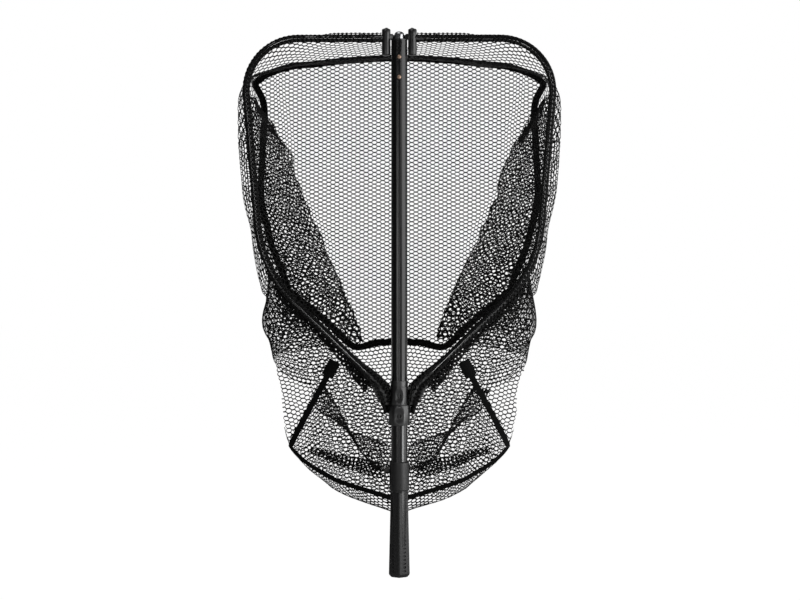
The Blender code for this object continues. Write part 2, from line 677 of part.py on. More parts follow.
def dish_cut(body, front, height, cutters):
    """Cut one round finger dish into a yoke body's front, with the button hole in its middle."""
    shape = bmesh.new()
    bmesh.ops.create_uvsphere(shape, u_segments=DISH_SEGMENTS, v_segments=DISH_SEGMENTS // 2, radius=DISH_SPHERE,
                              matrix=Matrix.Rotation(math.pi / 2, 4, "X"))
    mesh = bpy.data.meshes.new("finger_dish")
    shape.to_mesh(mesh)
    shape.free()
    ball = add_object("finger_dish", mesh, cutters)
    ball.location = (0, -front + DISH_DEPTH - DISH_SPHERE, height)
    combine(body, ball, "DIFFERENCE", cutters)
    hole = rod("dish_hole", (0, -front - 0.002, height), (0, -TUBE_BORE / 2, height),
               DISH_HOLE_DIAMETER / 2, 16, cutters)
    combine(body, hole, "DIFFERENCE", cutters)


def yoke_upper(parts, cutters, finishes):
    """The upper yoke body with its four hinge ears and the spigot that enters the lower body."""
    body = plate("yoke_upper", oval(YOKE_HALF_WIDTH, YOKE_FRONT, YOKE_SIDES), YOKE_JOINT_Z, YOKE_TOP_Z,
                 parts, finishes["moulded_nylon"])
    spigot = rod("spigot", (0, 0, YOKE_JOINT_Z - SPIGOT_LENGTH), (0, 0, YOKE_JOINT_Z + 0.002),
                 SPIGOT_RADIUS, TUBE_SIDES, cutters)
    combine(body, spigot, "UNION", cutters)
    for side in (LEFT, RIGHT):
        for low in (LOWER_EAR_Z, UPPER_EAR_Z):
            ear = plate("ear", ear_outline(side), low, low + EAR_THICKNESS, cutters)
            combine(body, ear, "UNION", cutters)
        pin_hole = rod("ear_pin_hole", (side * HINGE_X, 0, YOKE_JOINT_Z - 0.002),
                       (side * HINGE_X, 0, YOKE_TOP_Z + 0.002), bore_radius(PIN_RADIUS, 10), 10, cutters)
        combine(body, pin_hole, "DIFFERENCE", cutters)
    bore = rod("yoke_bore", (0, 0, YOKE_JOINT_Z - 0.02), (0, 0, YOKE_TOP_Z + 0.02),
               bore_radius(TUBE_RADIUS, TUBE_SIDES), TUBE_SIDES, cutters)
    combine(body, bore, "DIFFERENCE", cutters)
    dish_cut(body, YOKE_FRONT, UPPER_DISH_Z, cutters)
    for side in (LEFT, RIGHT):
        combine(body, yoke_screw_hole(side, cutters), "DIFFERENCE", cutters)
    return body


def yoke_screw_hole(side, cutters):
    """Hole for the screw that crosses the lower body's rim and the spigot."""
    height = yoke_screw_height()
    return rod("yoke_screw_hole", (side * (SLIDE_BORE - 0.002), 0, height),
               (side * (YOKE_LOWER_HALF_WIDTH + 0.002), 0, height), bore_radius(SCREW_RADIUS * 0.8, 12),
               12, cutters)


def yoke_screw_height():
    """Height of the two screws that hold the yoke's bodies together."""
    return YOKE_JOINT_Z - SPIGOT_LENGTH / 2


def yoke_lower(parts, cutters, finishes):
    """The lower yoke body: wider, with rounded shoulders and the second finger dish."""
    body = plate("yoke_lower", oval(YOKE_LOWER_HALF_WIDTH, YOKE_LOWER_FRONT, YOKE_SIDES), YOKE_BOTTOM_Z,
                 YOKE_LOWER_TOP_Z, parts, finishes["moulded_nylon"])
    rounding = body.modifiers.new("edges", "BEVEL")
    rounding.width = 0.0022
    rounding.segments = 2
    rounding.limit_method = "ANGLE"
    rounding.angle_limit = math.radians(60)
    bore = rod("lower_bore", (0, 0, YOKE_BOTTOM_Z - 0.01), (0, 0, YOKE_JOINT_Z + 0.01),
               bore_radius(TUBE_RADIUS, TUBE_SIDES), TUBE_SIDES, cutters)
    combine(body, bore, "DIFFERENCE", cutters)
    seat = rod("spigot_seat", (0, 0, YOKE_JOINT_Z - SPIGOT_LENGTH - CLEARANCE), (0, 0, YOKE_JOINT_Z + 0.01),
               bore_radius(SPIGOT_RADIUS, TUBE_SIDES), TUBE_SIDES, cutters)
    combine(body, seat, "DIFFERENCE", cutters)
    dish_cut(body, YOKE_LOWER_FRONT, LOWER_DISH_Z, cutters)
    for side in (LEFT, RIGHT):
        combine(body, yoke_screw_hole(side, cutters), "DIFFERENCE", cutters)
    return body


def yoke_ring(parts, finishes):
    """The thin ring on top of the yoke."""
    bore = bore_radius(TUBE_RADIUS, TUBE_SIDES)
    top = RING_BOTTOM_Z + RING_HEIGHT
    profile = [(RING_RADIUS - 0.0004, top), (RING_RADIUS, top - 0.0004), (RING_RADIUS, RING_BOTTOM_Z),
               (SLIDE_BORE + 0.0006, RING_BOTTOM_Z), (SLIDE_BORE + 0.0006, YOKE_TOP_Z + CLEARANCE),
               (bore, YOKE_TOP_Z + CLEARANCE), (bore, top)]
    return turned("yoke_ring", profile, TUBE_SIDES, parts, finishes["moulded_nylon"])


def yoke_screw(name, side, parts, finishes):
    """One of the two cross screws that hold the yoke's bodies together."""
    height = yoke_screw_height()
    return rod(name, (side * (SLIDE_BORE + CLEARANCE), 0, height),
               (side * (YOKE_LOWER_HALF_WIDTH + 0.0002), 0, height), SCREW_RADIUS * 0.8, 12, parts,
               finishes["spring_steel"])


# Hinges

def hinge_pin(name, side, low, high, parts, finishes):
    """A hinge pin with a domed head on top."""
    profile = [(0.0, high + PIN_HEAD_HEIGHT), (PIN_HEAD_RADIUS * 0.65, high + PIN_HEAD_HEIGHT * 0.8),
               (PIN_HEAD_RADIUS, high + PIN_HEAD_HEIGHT * 0.2), (PIN_HEAD_RADIUS, high),
               (PIN_RADIUS, high), (PIN_RADIUS, low), (0.0, low)]
    place = Matrix.Translation((side * HINGE_X, 0, 0))
    return turned(name, profile, 10, parts, finishes["spring_steel"], place)


def away(side, distance, height):
    """A point in the hoop's plane, at a distance outward from a hinge axis."""
    return (side * (HINGE_X + distance), 0, height)


def arm_point(side, distance):
    """A point on an arm's centre line, at a distance from the hinge axis."""
    return away(side, distance * math.cos(ARM_ANGLE), ARM_HINGE_Z + distance * math.sin(ARM_ANGLE))


def arm_knuckle(name, side, parts, cutters, finishes):
    """The moulded knuckle at the yoke: a barrel between the ears, a web and a socket for the arm."""
    low, high = KNUCKLE_BOTTOM_Z, KNUCKLE_TOP_Z
    corner = EAR_RADIUS + 0.0008
    start = arm_point(side, ARM_SOCKET_START)
    outline = [(0.0, low), (0.0, high), (corner, high), (corner, high + 0.008),
               (corner + 0.008, ARM_HINGE_Z + 0.022), (corner + 0.020, ARM_HINGE_Z + 0.027),
               (corner + 0.026, ARM_HINGE_Z + 0.020), (corner + 0.013, ARM_HINGE_Z - 0.008), (0.009, low)]
    web = plate(name, [(side * (HINGE_X + out), height) for out, height in outline],
                -KNUCKLE_HALF_THICKNESS, KNUCKLE_HALF_THICKNESS, parts, finishes["moulded_nylon"],
                upright=True)
    barrel = rod("barrel", away(side, 0, low), away(side, 0, high), BARREL_RADIUS, BARREL_SIDES, cutters)
    combine(web, barrel, "UNION", cutters)
    socket = rod("socket", start, arm_point(side, ARM_SOCKET_END), SOCKET_RADIUS, SOCKET_SIDES, cutters)
    combine(web, socket, "UNION", cutters)
    bore = rod("arm_bore", arm_point(side, ARM_TUBE_START - CLEARANCE), arm_point(side, ARM_SOCKET_END + 0.01),
               bore_radius(HOOP_RADIUS, SOCKET_SIDES), SOCKET_SIDES, cutters)
    combine(web, bore, "DIFFERENCE", cutters)
    pin_hole = rod("pin_hole", away(side, 0, low - 0.01), away(side, 0, high + 0.01),
                   bore_radius(PIN_RADIUS, 10), 10, cutters)
    combine(web, pin_hole, "DIFFERENCE", cutters)
    combine(web, rivet_hole(arm_point(side, ARM_RIVET_AT), cutters), "DIFFERENCE", cutters)
    return web


def rivet_hole(place, cutters):
    """Hole through a socket and its tube, front to back."""
    across, _, height = place
    return rod("rivet_hole", (across, -0.02, height), (across, 0.02, height),
               bore_radius(RIVET_RADIUS, 10), 10, cutters)


def top_fitting(name, side, parts, cutters, finishes):
    """The fitting at the far end: two barrels either side of the bridge's ear and a socket behind them."""
    low = BRIDGE_BOTTOM_Z - TURN_GAP - LOWER_BARREL_HEIGHT
    high = BRIDGE_TOP_Z + TURN_GAP + UPPER_BARREL_HEIGHT
    neck = EAR_RADIUS + 0.0008
    outline = [(0.0, low), (0.0, BRIDGE_BOTTOM_Z - TURN_GAP), (neck, BRIDGE_BOTTOM_Z - TURN_GAP),
               (neck, BRIDGE_TOP_Z + TURN_GAP), (0.0, BRIDGE_TOP_Z + TURN_GAP), (0.0, high),
               (0.004, high), (0.014, high - 0.006), (0.024, HOOP_TOP_Z + SOCKET_RADIUS),
               (0.024, HOOP_TOP_Z - SOCKET_RADIUS), (0.012, low + 0.006), (0.006, low)]
    body = plate(name, [(side * (HINGE_X + out), height) for out, height in outline],
                 -KNUCKLE_HALF_THICKNESS, KNUCKLE_HALF_THICKNESS, parts, finishes["moulded_nylon"],
                 upright=True)
    for bottom, top in ((low, BRIDGE_BOTTOM_Z - TURN_GAP), (BRIDGE_TOP_Z + TURN_GAP, high)):
        barrel = rod("top_barrel", away(side, 0, bottom), away(side, 0, top), BARREL_RADIUS,
                     BARREL_SIDES, cutters)
        combine(body, barrel, "UNION", cutters)
    socket = rod("top_socket", away(side, TOP_SOCKET_START, HOOP_TOP_Z),
                 away(side, TOP_SOCKET_END, HOOP_TOP_Z), SOCKET_RADIUS, SOCKET_SIDES, cutters)
    combine(body, socket, "UNION", cutters)
    bore = rod("top_bore", away(side, TOP_TUBE_START - CLEARANCE, HOOP_TOP_Z),
               away(side, TOP_SOCKET_END + 0.01, HOOP_TOP_Z), bore_radius(HOOP_RADIUS, SOCKET_SIDES), SOCKET_SIDES, cutters)
    combine(body, bore, "DIFFERENCE", cutters)
    pin_hole = rod("top_pin_hole", away(side, 0, low - 0.01), away(side, 0, high + 0.01),
                   bore_radius(PIN_RADIUS, 10), 10, cutters)
    combine(body, pin_hole, "DIFFERENCE", cutters)
    combine(body, rivet_hole(away(side, TOP_RIVET_AT, HOOP_TOP_Z), cutters), "DIFFERENCE", cutters)
    return body


def top_bridge(parts, cutters, finishes):
    """The bridge that joins the two far hinges and passes behind the nose, on the tube's rim."""
    inner_y = NOSE_RADIUS + BRIDGE_BEHIND_NOSE
    outer_y = inner_y + BRIDGE_BAR
    leg_outer = HINGE_X - EAR_RADIUS - 0.0012
    leg_inner = leg_outer - BRIDGE_BAR
    half = [(0.0, inner_y), (leg_inner - 0.002, inner_y), (leg_inner, inner_y - 0.002),
            (leg_inner, -0.0030), (leg_inner + 0.001, -0.0040), (HINGE_X, -EAR_RADIUS)]
    for step in range(1, EAR_SIDES // 2):
        turn = -math.pi / 2 + math.pi * step / (EAR_SIDES // 2)
        half.append((HINGE_X + EAR_RADIUS * math.cos(turn), EAR_RADIUS * math.sin(turn)))
    half += [(HINGE_X, EAR_RADIUS), (leg_outer, EAR_RADIUS - 0.001), (leg_outer, outer_y - 0.003),
             (leg_outer - 0.003, outer_y), (0.0, outer_y)]
    outline = half + [(-across, depth) for across, depth in reversed(half[1:-1])]
    bridge = plate("top_bridge", outline, BRIDGE_BOTTOM_Z, BRIDGE_TOP_Z, parts, finishes["moulded_nylon"])
    for side in (LEFT, RIGHT):
        hole = rod("bridge_pin_hole", away(side, 0, BRIDGE_BOTTOM_Z - 0.01),
                   away(side, 0, BRIDGE_TOP_Z + 0.01), bore_radius(PIN_RADIUS, 10), 10, cutters)
        combine(bridge, hole, "DIFFERENCE", cutters)
    return bridge


def rivet(name, place, parts, finishes):
    """A headed rivet through a socket and its tube, front to back."""
    reach = SOCKET_RADIUS + CLEARANCE
    end = reach + RIVET_HEAD_HEIGHT
    profile = [(0.0, end), (RIVET_HEAD_RADIUS * 0.6, end), (RIVET_HEAD_RADIUS, reach),
               (RIVET_RADIUS, reach), (RIVET_RADIUS, -reach), (RIVET_HEAD_RADIUS, -reach),
               (RIVET_HEAD_RADIUS * 0.6, -end), (0.0, -end)]
    turn = Matrix.Translation(place) @ Matrix.Rotation(math.pi / 2, 4, "X")
    return turned(name, profile, 10, parts, finishes["bright_aluminium"], turn)


# Hoop

def fillet(before, corner, after, radius, steps):
    """Points of the arc that rounds a corner between two straight lines, from one tangent to the other."""
    to_before = (before - corner).normalized()
    to_after = (after - corner).normalized()
    half = to_before.angle(to_after) / 2
    reach = radius / math.tan(half)
    centre = corner + (to_before + to_after).normalized() * (radius / math.sin(half))
    start = corner + to_before * reach - centre
    sweep = math.pi - 2 * half
    turn = 1 if start.x * to_before.y - start.y * to_before.x < 0 else -1
    points = []
    for step in range(steps + 1):
        angle = turn * sweep * step / steps
        points.append(centre + Vector((start.x * math.cos(angle) - start.y * math.sin(angle),
                                       start.x * math.sin(angle) + start.y * math.cos(angle))))
    return points


def hoop_corners():
    """The right half hoop's guide points in (x, z): top start, shoulder, waist and hinge end."""
    return (Vector((HINGE_X, HOOP_TOP_Z)), Vector((HOOP_SHOULDER_HALF, HOOP_TOP_Z)),
            Vector((HOOP_WAIST_HALF, HOOP_WAIST_Z)), Vector((HINGE_X, ARM_HINGE_Z)))


def hoop_line(top_start, arm_end):
    """Centre line of the right half hoop from its top fitting to its knuckle, in (x, z)."""
    top, shoulder, waist, hinge = hoop_corners()
    start = top + (shoulder - top).normalized() * top_start
    end = hinge + (waist - hinge).normalized() * arm_end
    return ([start] + fillet(top, shoulder, waist, CORNER_RADIUS, CORNER_STEPS)
            + fillet(shoulder, waist, hinge, BEND_RADIUS, BEND_STEPS) + [end])


def hoop_path(side, top_start, arm_end):
    """The hoop's centre line on one side, as points in space."""
    return [Vector((side * point.x, 0.0, point.y)) for point in hoop_line(top_start, arm_end)]


def hollow_bar(name, side, ends, overrun, outer, inner, parts, cutters, finish):
    """A hollow bar along the hoop's line; the bore runs past both ends."""
    bar = tube_along(name, hoop_path(side, *ends), outer, parts, finish)
    core = tube_along(name + "_core", hoop_path(side, ends[0] - overrun, ends[1] - overrun), inner, cutters)
    return combine(bar, core, "DIFFERENCE", cutters)


def half_hoop(name, side, parts, cutters, finishes):
    """One half of the hoop, a bent aluminium tube drilled for its two rivets."""
    tube = hollow_bar(name, side, (TOP_TUBE_START, ARM_TUBE_START), 0.004, HOOP_RADIUS,
                      HOOP_RADIUS - HOOP_TUBE_WALL, parts, cutters, finishes["black_anodised"])
    combine(tube, rivet_hole(arm_point(side, ARM_RIVET_AT), cutters), "DIFFERENCE", cutters)
    combine(tube, rivet_hole(away(side, TOP_RIVET_AT, HOOP_TOP_Z), cutters), "DIFFERENCE", cutters)
    return tube


def hem(name, side, parts, cutters, finishes):
    """The netting gathered and sewn round one half of the hoop."""
    return hollow_bar(name, side, (HEM_START, HEM_END), 0.004, HEM_RADIUS, HEM_INNER, parts, cutters,
                      finishes["coated_mesh"])


# Bag

def mouth_stations():
    """The right half's points on the hoop, in (x, z), one for each station round the bag."""
    top, shoulder, waist, hinge = hoop_corners()
    corner = fillet(top, shoulder, waist, CORNER_RADIUS, 2)
    bend = fillet(shoulder, waist, hinge, BEND_RADIUS, 2)
    first = Vector((HINGE_X + 0.002, HOOP_TOP_Z))
    points = [first, first.lerp(corner[0], 0.5), *corner]
    points += [corner[2].lerp(bend[0], share) for share in SIDE_STATIONS]
    points += bend
    points += [bend[2].lerp(hinge, share) for share in ARM_STATIONS]
    return points + [Vector((0.0, ARM_HINGE_Z + MIDDLE_RISE))]


def mouth_depths():
    """How far behind the hoop's plane the bag starts: further at the rivets, the slant and the yoke."""
    depths = [MOUTH_DEPTH] * SIDE_PANEL_END
    for station in range(len(TOP_FRONT_DEPTHS)):
        depths[station] += MESH_THICKNESS / 4
    depths += [MOUTH_DEPTH + MESH_THICKNESS / 2] * (LAST_STATION + 1 - SIDE_PANEL_END)
    depths[0] = RIVET_DEPTH + 3 * MOUTH_GAP
    depths[-2] += 0.004
    depths[-1] = YOKE_LOWER_HALF_WIDTH + MIDDLE_STANDOFF
    return depths


def curve_between(points, place):
    """A smooth curve through a list of points, read at a fractional index."""
    index = min(int(place), len(points) - 2)
    share = place - index
    start, end = points[index], points[index + 1]
    before = points[index - 1] if index > 0 else start * 2 - end
    after = points[index + 2] if index + 2 < len(points) else end * 2 - start
    if share < 1e-9:
        return start.copy()
    if share > 1 - 1e-9:
        return end.copy()
    handles = (start, start + (end - before) / 6, end - (after - start) / 6, end)
    a, b, c, d = (handle * weight for handle, weight in
                  zip(handles, ((1 - share) ** 3, 3 * share * (1 - share) ** 2,
                                3 * share ** 2 * (1 - share), share ** 3)))
    return a + b + c + d


def bag_rings():
    """The four closed lines that the bag's skin runs through, on the right half, front to back."""
    mouth = mouth_stations()
    stations = LAST_STATION + 1
    front_depths = TOP_FRONT_DEPTHS + (TAPE_B_DEPTH,) * (stations - len(TOP_FRONT_DEPTHS))
    rings = [[Vector((point.x, depth, point.y)) for point, depth in zip(mouth, mouth_depths())]]
    for offsets, depths in ((FRONT_OFFSETS, front_depths), (LOW_OFFSETS, (LOWEST_DEPTH,) * stations),
                            (BACK_OFFSETS, (BAG_DEPTH,) * stations)):
        rings.append([Vector((point.x + out, depth, point.y + up))
                      for point, (out, up), depth in zip(mouth, offsets, depths)])
    return rings


def skin_point(rings, side, station, ring):
    """A point on the bag's skin: station 0 to 13 round it, ring 0 to 3 from mouth to back."""
    column = [curve_between(line, station) for line in rings]
    point = curve_between(column, ring)
    return Vector((side * point.x, point.y, point.z))


def skin_normal(rings, side, station, ring):
    """The direction out of the bag at a point on its skin."""
    step = 0.01
    low_s, high_s = max(station - step, 0), min(station + step, LAST_STATION)
    low_r, high_r = max(ring - step, 0), min(ring + step, 3)
    along = skin_point(rings, side, high_s, ring) - skin_point(rings, side, low_s, ring)
    back = skin_point(rings, side, station, high_r) - skin_point(rings, side, station, low_r)
    normal = along.cross(back).normalized()
    return normal * side


def spread(start, end, count):
    """Evenly spaced values from start to end."""
    return [start + (end - start) * step / count for step in range(count + 1)]


def open_grid(shape, faces, bar):
    """Take the middle out of every two-by-two group of faces, so that bars are left between openings."""
    gone = []
    for low, high in zip(faces[::2], faces[1::2]):
        for index in range(0, len(low) - 1, 2):
            group = low[index:index + 2] + high[index:index + 2]
            bmesh.ops.inset_region(shape, faces=group, thickness=bar / 2, use_even_offset=True)
            gone += group
    bmesh.ops.delete(shape, geom=gone, context="FACES")


def sheet(name, rows, thickness, parts, finish, bar=0.0):
    """A closed thin solid through rows of points, half its thickness on each side, opened between bars."""
    shape = bmesh.new()
    grid = [[shape.verts.new(point) for point in row] for row in rows]
    faces = []
    for first, second in zip(grid, grid[1:]):
        faces.append([shape.faces.new((first[index], first[index + 1], second[index + 1], second[index]))
                      for index in range(len(first) - 1)])
    bmesh.ops.recalc_face_normals(shape, faces=shape.faces)
    if bar > 0:
        open_grid(shape, faces, bar)
    mesh = bpy.data.meshes.new(name)
    shape.to_mesh(mesh)
    shape.free()
    thing = add_object(name, mesh, parts, finish)
    wall = thing.modifiers.new("wall", "SOLIDIFY")
    wall.thickness = thickness
    wall.offset = 0.0
    return thing


def panel(name, side, stations, rings_of_panel, parts, finishes, rings, bar=0.0):
    """One panel of the bag over a range of stations and rings."""
    rows = [[skin_point(rings, side, station, ring) for station in stations] for ring in rings_of_panel]
    return sheet(name, rows, MESH_THICKNESS, parts, finishes["coated_mesh"], bar)


def trimmed(values, low_trim, high_trim):
    """The same values with the first and the last drawn in."""
    inner = list(values)
    inner[0] += low_trim
    inner[-1] -= high_trim
    return inner


def bag_panels(side, word, parts, finishes, rings):
    """The four curved panels of one half of the bag."""
    flat_gap = SEAM_GAP / 2 / STATION_SPACING
    bend_gap = BEND_SEAM_GAP / 2 / STATION_SPACING
    ring_gap = BEND_SEAM_GAP / 2 / (LOWEST_DEPTH - TAPE_B_DEPTH)
    depth_lines = spread(0, 3, 6)
    top = trimmed(spread(0, TOP_PANEL_END, 2 * TOP_PANEL_END), 0.0, flat_gap)
    flank = trimmed(spread(TOP_PANEL_END, SIDE_PANEL_END, 2 * (SIDE_PANEL_END - TOP_PANEL_END)),
                    flat_gap, bend_gap)
    lower = trimmed(spread(SIDE_PANEL_END, LAST_STATION, 2 * (LAST_STATION - SIDE_PANEL_END)),
                    bend_gap, bend_gap)
    apron_lines = trimmed(spread(0, 1, 4), 0.0, ring_gap)
    pouch_lines = trimmed(spread(1, 3, 6), ring_gap, 0.0)
    return [panel("net_top_" + word, side, top, depth_lines, parts, finishes, rings, OPENING_BAR),
            panel("net_side_" + word, side, flank, depth_lines, parts, finishes, rings, OPENING_BAR),
            panel("net_apron_" + word, side, lower, apron_lines, parts, finishes, rings),
            panel("net_pouch_" + word, side, lower, pouch_lines, parts, finishes, rings)]


def back_outline(rings, inset):
    """Outline of the rear panel in (x, z), drawn in from the skin by an inset."""
    line = rings[3]
    right = [curve_between(line, place) for place in spread(0, LAST_STATION, 2 * LAST_STATION)]
    points = [Vector((point.x, point.z)) for point in right]
    points = [point for point in points if point.x > 0.006]
    points = [Vector((0.0, line[0].z))] + points + [Vector((0.0, line[LAST_STATION].z))]
    full = points + [Vector((-point.x, point.y)) for point in reversed(points[1:-1])]
    outline = []
    for index, point in enumerate(full):
        before, after = full[index - 1], full[(index + 1) % len(full)]
        into = (point - before).normalized()
        out = (after - point).normalized()
        normal = Vector((into.y + out.y, -into.x - out.x)).normalized()
        stretch = 1 / max(0.5, normal.dot(Vector((into.y, -into.x))))
        outline.append(tuple(point + normal * (inset * stretch)))
    return outline


def encloses(outline, x, z):
    """Whether a point lies inside a closed outline."""
    found = False
    for (ax, az), (bx, bz) in zip(outline, outline[1:] + outline[:1]):
        if (az > z) != (bz > z) and x < (bx - ax) * (z - az) / (bz - az) + ax:
            found = not found
    return found


def column_reach(limit, left, right):
    """The lowest and highest z at which both sides of a column lie inside a limiting outline."""
    up = [z for _, z in limit]
    heights = [z for z in spread(min(up), max(up), 200) if encloses(limit, left, z) and encloses(limit, right, z)]
    return (heights[0], heights[-1]) if heights else (0.0, 0.0)


def rear_openings(limit):
    """The openings of a plain grid, in columns that each reach from edge to edge of a limiting outline."""
    wide = REAR_OPENINGS_WIDTH / REAR_OPENINGS_ACROSS
    openings = []
    for column in range(REAR_OPENINGS_ACROSS):
        left = -REAR_OPENINGS_WIDTH / 2 + column * wide + OPENING_BAR / 2
        right = left + wide - OPENING_BAR
        low, high = column_reach(limit, left, right)
        count = round((high - low) / wide)
        for row in range(count):
            foot = low + (high - low) * row / count + OPENING_BAR / 2
            head = low + (high - low) * (row + 1) / count - OPENING_BAR / 2
            openings.append([(left, foot), (right, foot), (right, head), (left, head)])
    return openings


def back_panel(parts, finishes, rings):
    """The flat rear panel, with a plain grid of openings for its netting."""
    outline = back_outline(rings, 0.0)
    return plate("net_back", outline, BACK_PANEL_Y, BACK_PANEL_Y + MESH_THICKNESS, parts,
                 finishes["coated_mesh"], upright=True, holes=rear_openings(back_outline(rings, REAR_MARGIN)))


def inside_skin(rings, side, station, ring, distance):
    """A point at a distance inside the bag's skin."""
    return skin_point(rings, side, station, ring) - skin_normal(rings, side, station, ring) * distance


def net_fold(name, side, parts, finishes, rings):
    """The slack of the side netting: a deep pleat that stands off the skin and turns back on itself."""
    rows = []
    for index, (x, z) in enumerate(FOLD_TIPS):
        station = FOLD_FIRST_STATION + index / 2
        touch = MESH_THICKNESS / 2 + (FOLD_LOW_GAP if station >= SIDE_PANEL_END else SEAM_GAP)
        row = [inside_skin(rings, side, station, 1.0, touch),
               inside_skin(rings, side, station, 1.0, FOLD_LEAVES)]
        row += [Vector((side * (x + FOLD_TURN), FOLD_DEPTH - FOLD_TURN, z)), Vector((side * x, FOLD_DEPTH, z)),
                Vector((side * (x + FOLD_TURN), FOLD_DEPTH + FOLD_TURN, z))]
        row += [inside_skin(rings, side, station, 2.5, FOLD_LEAVES),
                inside_skin(rings, side, station, 2.5, touch)]
        rows.append(row)
    return sheet(name, rows, MESH_THICKNESS, parts, finishes["coated_mesh"])


def net_drape(name, side, parts, finishes, rings):
    """The inner layer that hangs from the skin in front of the pouch, down to its own folded edge."""
    touch = MESH_THICKNESS / 2 + SEAM_GAP
    rows = []
    last = len(DRAPE_EDGE) - 1
    for index, (x, z) in enumerate(DRAPE_EDGE):
        station = DRAPE_FIRST_STATION + (DRAPE_LAST_STATION - DRAPE_FIRST_STATION) * index / last
        top = inside_skin(rings, side, station, DRAPE_RING, touch)
        leaves = inside_skin(rings, side, station, DRAPE_RING, FOLD_LEAVES)
        edge = Vector((side * x, DRAPE_DEPTH, z))
        rows.append([top, leaves, leaves.lerp(edge, 0.5), edge])
    return sheet(name, rows, MESH_THICKNESS, parts, finishes["coated_mesh"])


def rear_tape(parts, finishes, rings):
    """The binding sewn round the rear panel."""
    low = BACK_PANEL_Y + MESH_THICKNESS + CLEARANCE
    return plate("tape_rear", back_outline(rings, 0.0), low, low + TAPE_THICKNESS, parts,
                 finishes["binding_tape"], upright=True, holes=[back_outline(rings, TAPE_WIDTH)])


def ribbon(name, path, width, parts, finish):
    """A flat tape along (place, outward normal) pairs, standing just off the skin."""
    stand = MESH_THICKNESS / 2 + TAPE_STANDOFF + TAPE_THICKNESS / 2
    near, far = [], []
    for index, (point, normal) in enumerate(path):
        before, after = path[max(index - 1, 0)][0], path[min(index + 1, len(path) - 1)][0]
        across = (after - before).normalized().cross(normal).normalized() * (width / 2)
        base = point + normal * stand
        near.append(base - across)
        far.append(base + across)
    return sheet(name, [near, far], TAPE_THICKNESS, parts, finish)


def front_tape(parts, finishes, rings):
    """The binding of the lower bag: from one arm's patch to the corner, along the bottom and back up."""
    half = [(TAPE_STATION, ring) for ring in spread(TAPE_START, 1, 6)]
    half += [(station, 1) for station in spread(TAPE_STATION, LAST_STATION, 6)[1:]]
    path = [(skin_point(rings, LEFT, *place), skin_normal(rings, LEFT, *place)) for place in half[:-1]]
    middle = skin_point(rings, LEFT, *half[-1])
    sag = skin_normal(rings, LEFT, LAST_STATION - 0.3, 1)
    path.append((middle, Vector((0.0, sag.y, sag.z)).normalized()))
    path += [(skin_point(rings, RIGHT, *place), skin_normal(rings, RIGHT, *place))
             for place in reversed(half[:-1])]
    return ribbon("tape_front", path, TAPE_WIDTH, parts, finishes["binding_tape"])


def arm_patch(name, side, parts, finishes, rings):
    """The reinforcing patch at the upper end of the front binding."""
    path = [(skin_point(rings, side, TAPE_STATION, ring), skin_normal(rings, side, TAPE_STATION, ring))
            for ring in spread(PATCH_TOP, PATCH_BOTTOM, 1)]
    return ribbon(name, path, PATCH_WIDTH, parts, finishes["binding_tape"])


# Assembly

def clear_scene():
    """Take away whatever the scene starts with."""
    for thing in list(bpy.data.objects):
        bpy.data.objects.remove(thing)


def build():
    """Make every piece of the net and hang it on the empty of the joint that it moves with."""
    clear_scene()
    finishes = make_materials()
    parts = bpy.data.collections.new("folding_landing_net")
    cutters = bpy.data.collections.new("cutters")
    bpy.context.scene.collection.children.link(parts)
    bpy.context.scene.collection.children.link(cutters)
    handle_tube(parts, cutters, finishes)
    tube_cap(parts, finishes)
    nose_plug(parts, finishes)
    grip(parts, cutters, finishes)
    tube_plug(parts, finishes)
    collar(parts, cutters, finishes)
    belt_clip(parts, cutters, finishes)
    clip_screw(parts, finishes)
    button_spring(parts, finishes)
    for name, height in (("upper_button", UPPER_BUTTON_Z), ("lower_button", LOWER_BUTTON_Z)):
        turn_about(axis_marker(name + "_axis", (0, -TUBE_RADIUS, height), parts),
                   snap_button(name, height, parts, finishes))
    head = [yoke_upper(parts, cutters, finishes), yoke_lower(parts, cutters, finishes),
            yoke_ring(parts, finishes), top_bridge(parts, cutters, finishes)]
    head += build_bag(parts, finishes)
    frames = []
    for side, word in ((LEFT, "left"), (RIGHT, "right")):
        head.append(hinge_pin("yoke_pin_" + word, side, LOWER_EAR_Z, UPPER_EAR_Z + EAR_THICKNESS + CLEARANCE,
                              parts, finishes))
        head.append(hinge_pin("bridge_pin_" + word, side,
                              BRIDGE_BOTTOM_Z - TURN_GAP - LOWER_BARREL_HEIGHT,
                              BRIDGE_TOP_Z + TURN_GAP + UPPER_BARREL_HEIGHT + CLEARANCE, parts, finishes))
        head.append(yoke_screw("yoke_screw_" + word, side, parts, finishes))
        frame = [half_hoop("hoop_" + word, side, parts, cutters, finishes),
                 arm_knuckle("arm_knuckle_" + word, side, parts, cutters, finishes),
                 top_fitting("top_fitting_" + word, side, parts, cutters, finishes),
                 hem("hem_" + word, side, parts, cutters, finishes),
                 rivet("arm_rivet_" + word, arm_point(side, ARM_RIVET_AT), parts, finishes),
                 rivet("top_rivet_" + word, away(side, TOP_RIVET_AT, HOOP_TOP_Z), parts, finishes)]
        axis = axis_marker(word + "_fold_axis", (side * HINGE_X, 0, ARM_HINGE_Z), parts)
        turn_about(axis, *frame)
        frames.append(axis)
    slide = axis_marker("head_slide_axis", (0, 0, YOKE_JOINT_Z), parts)
    turn_about(slide, *head, *frames)


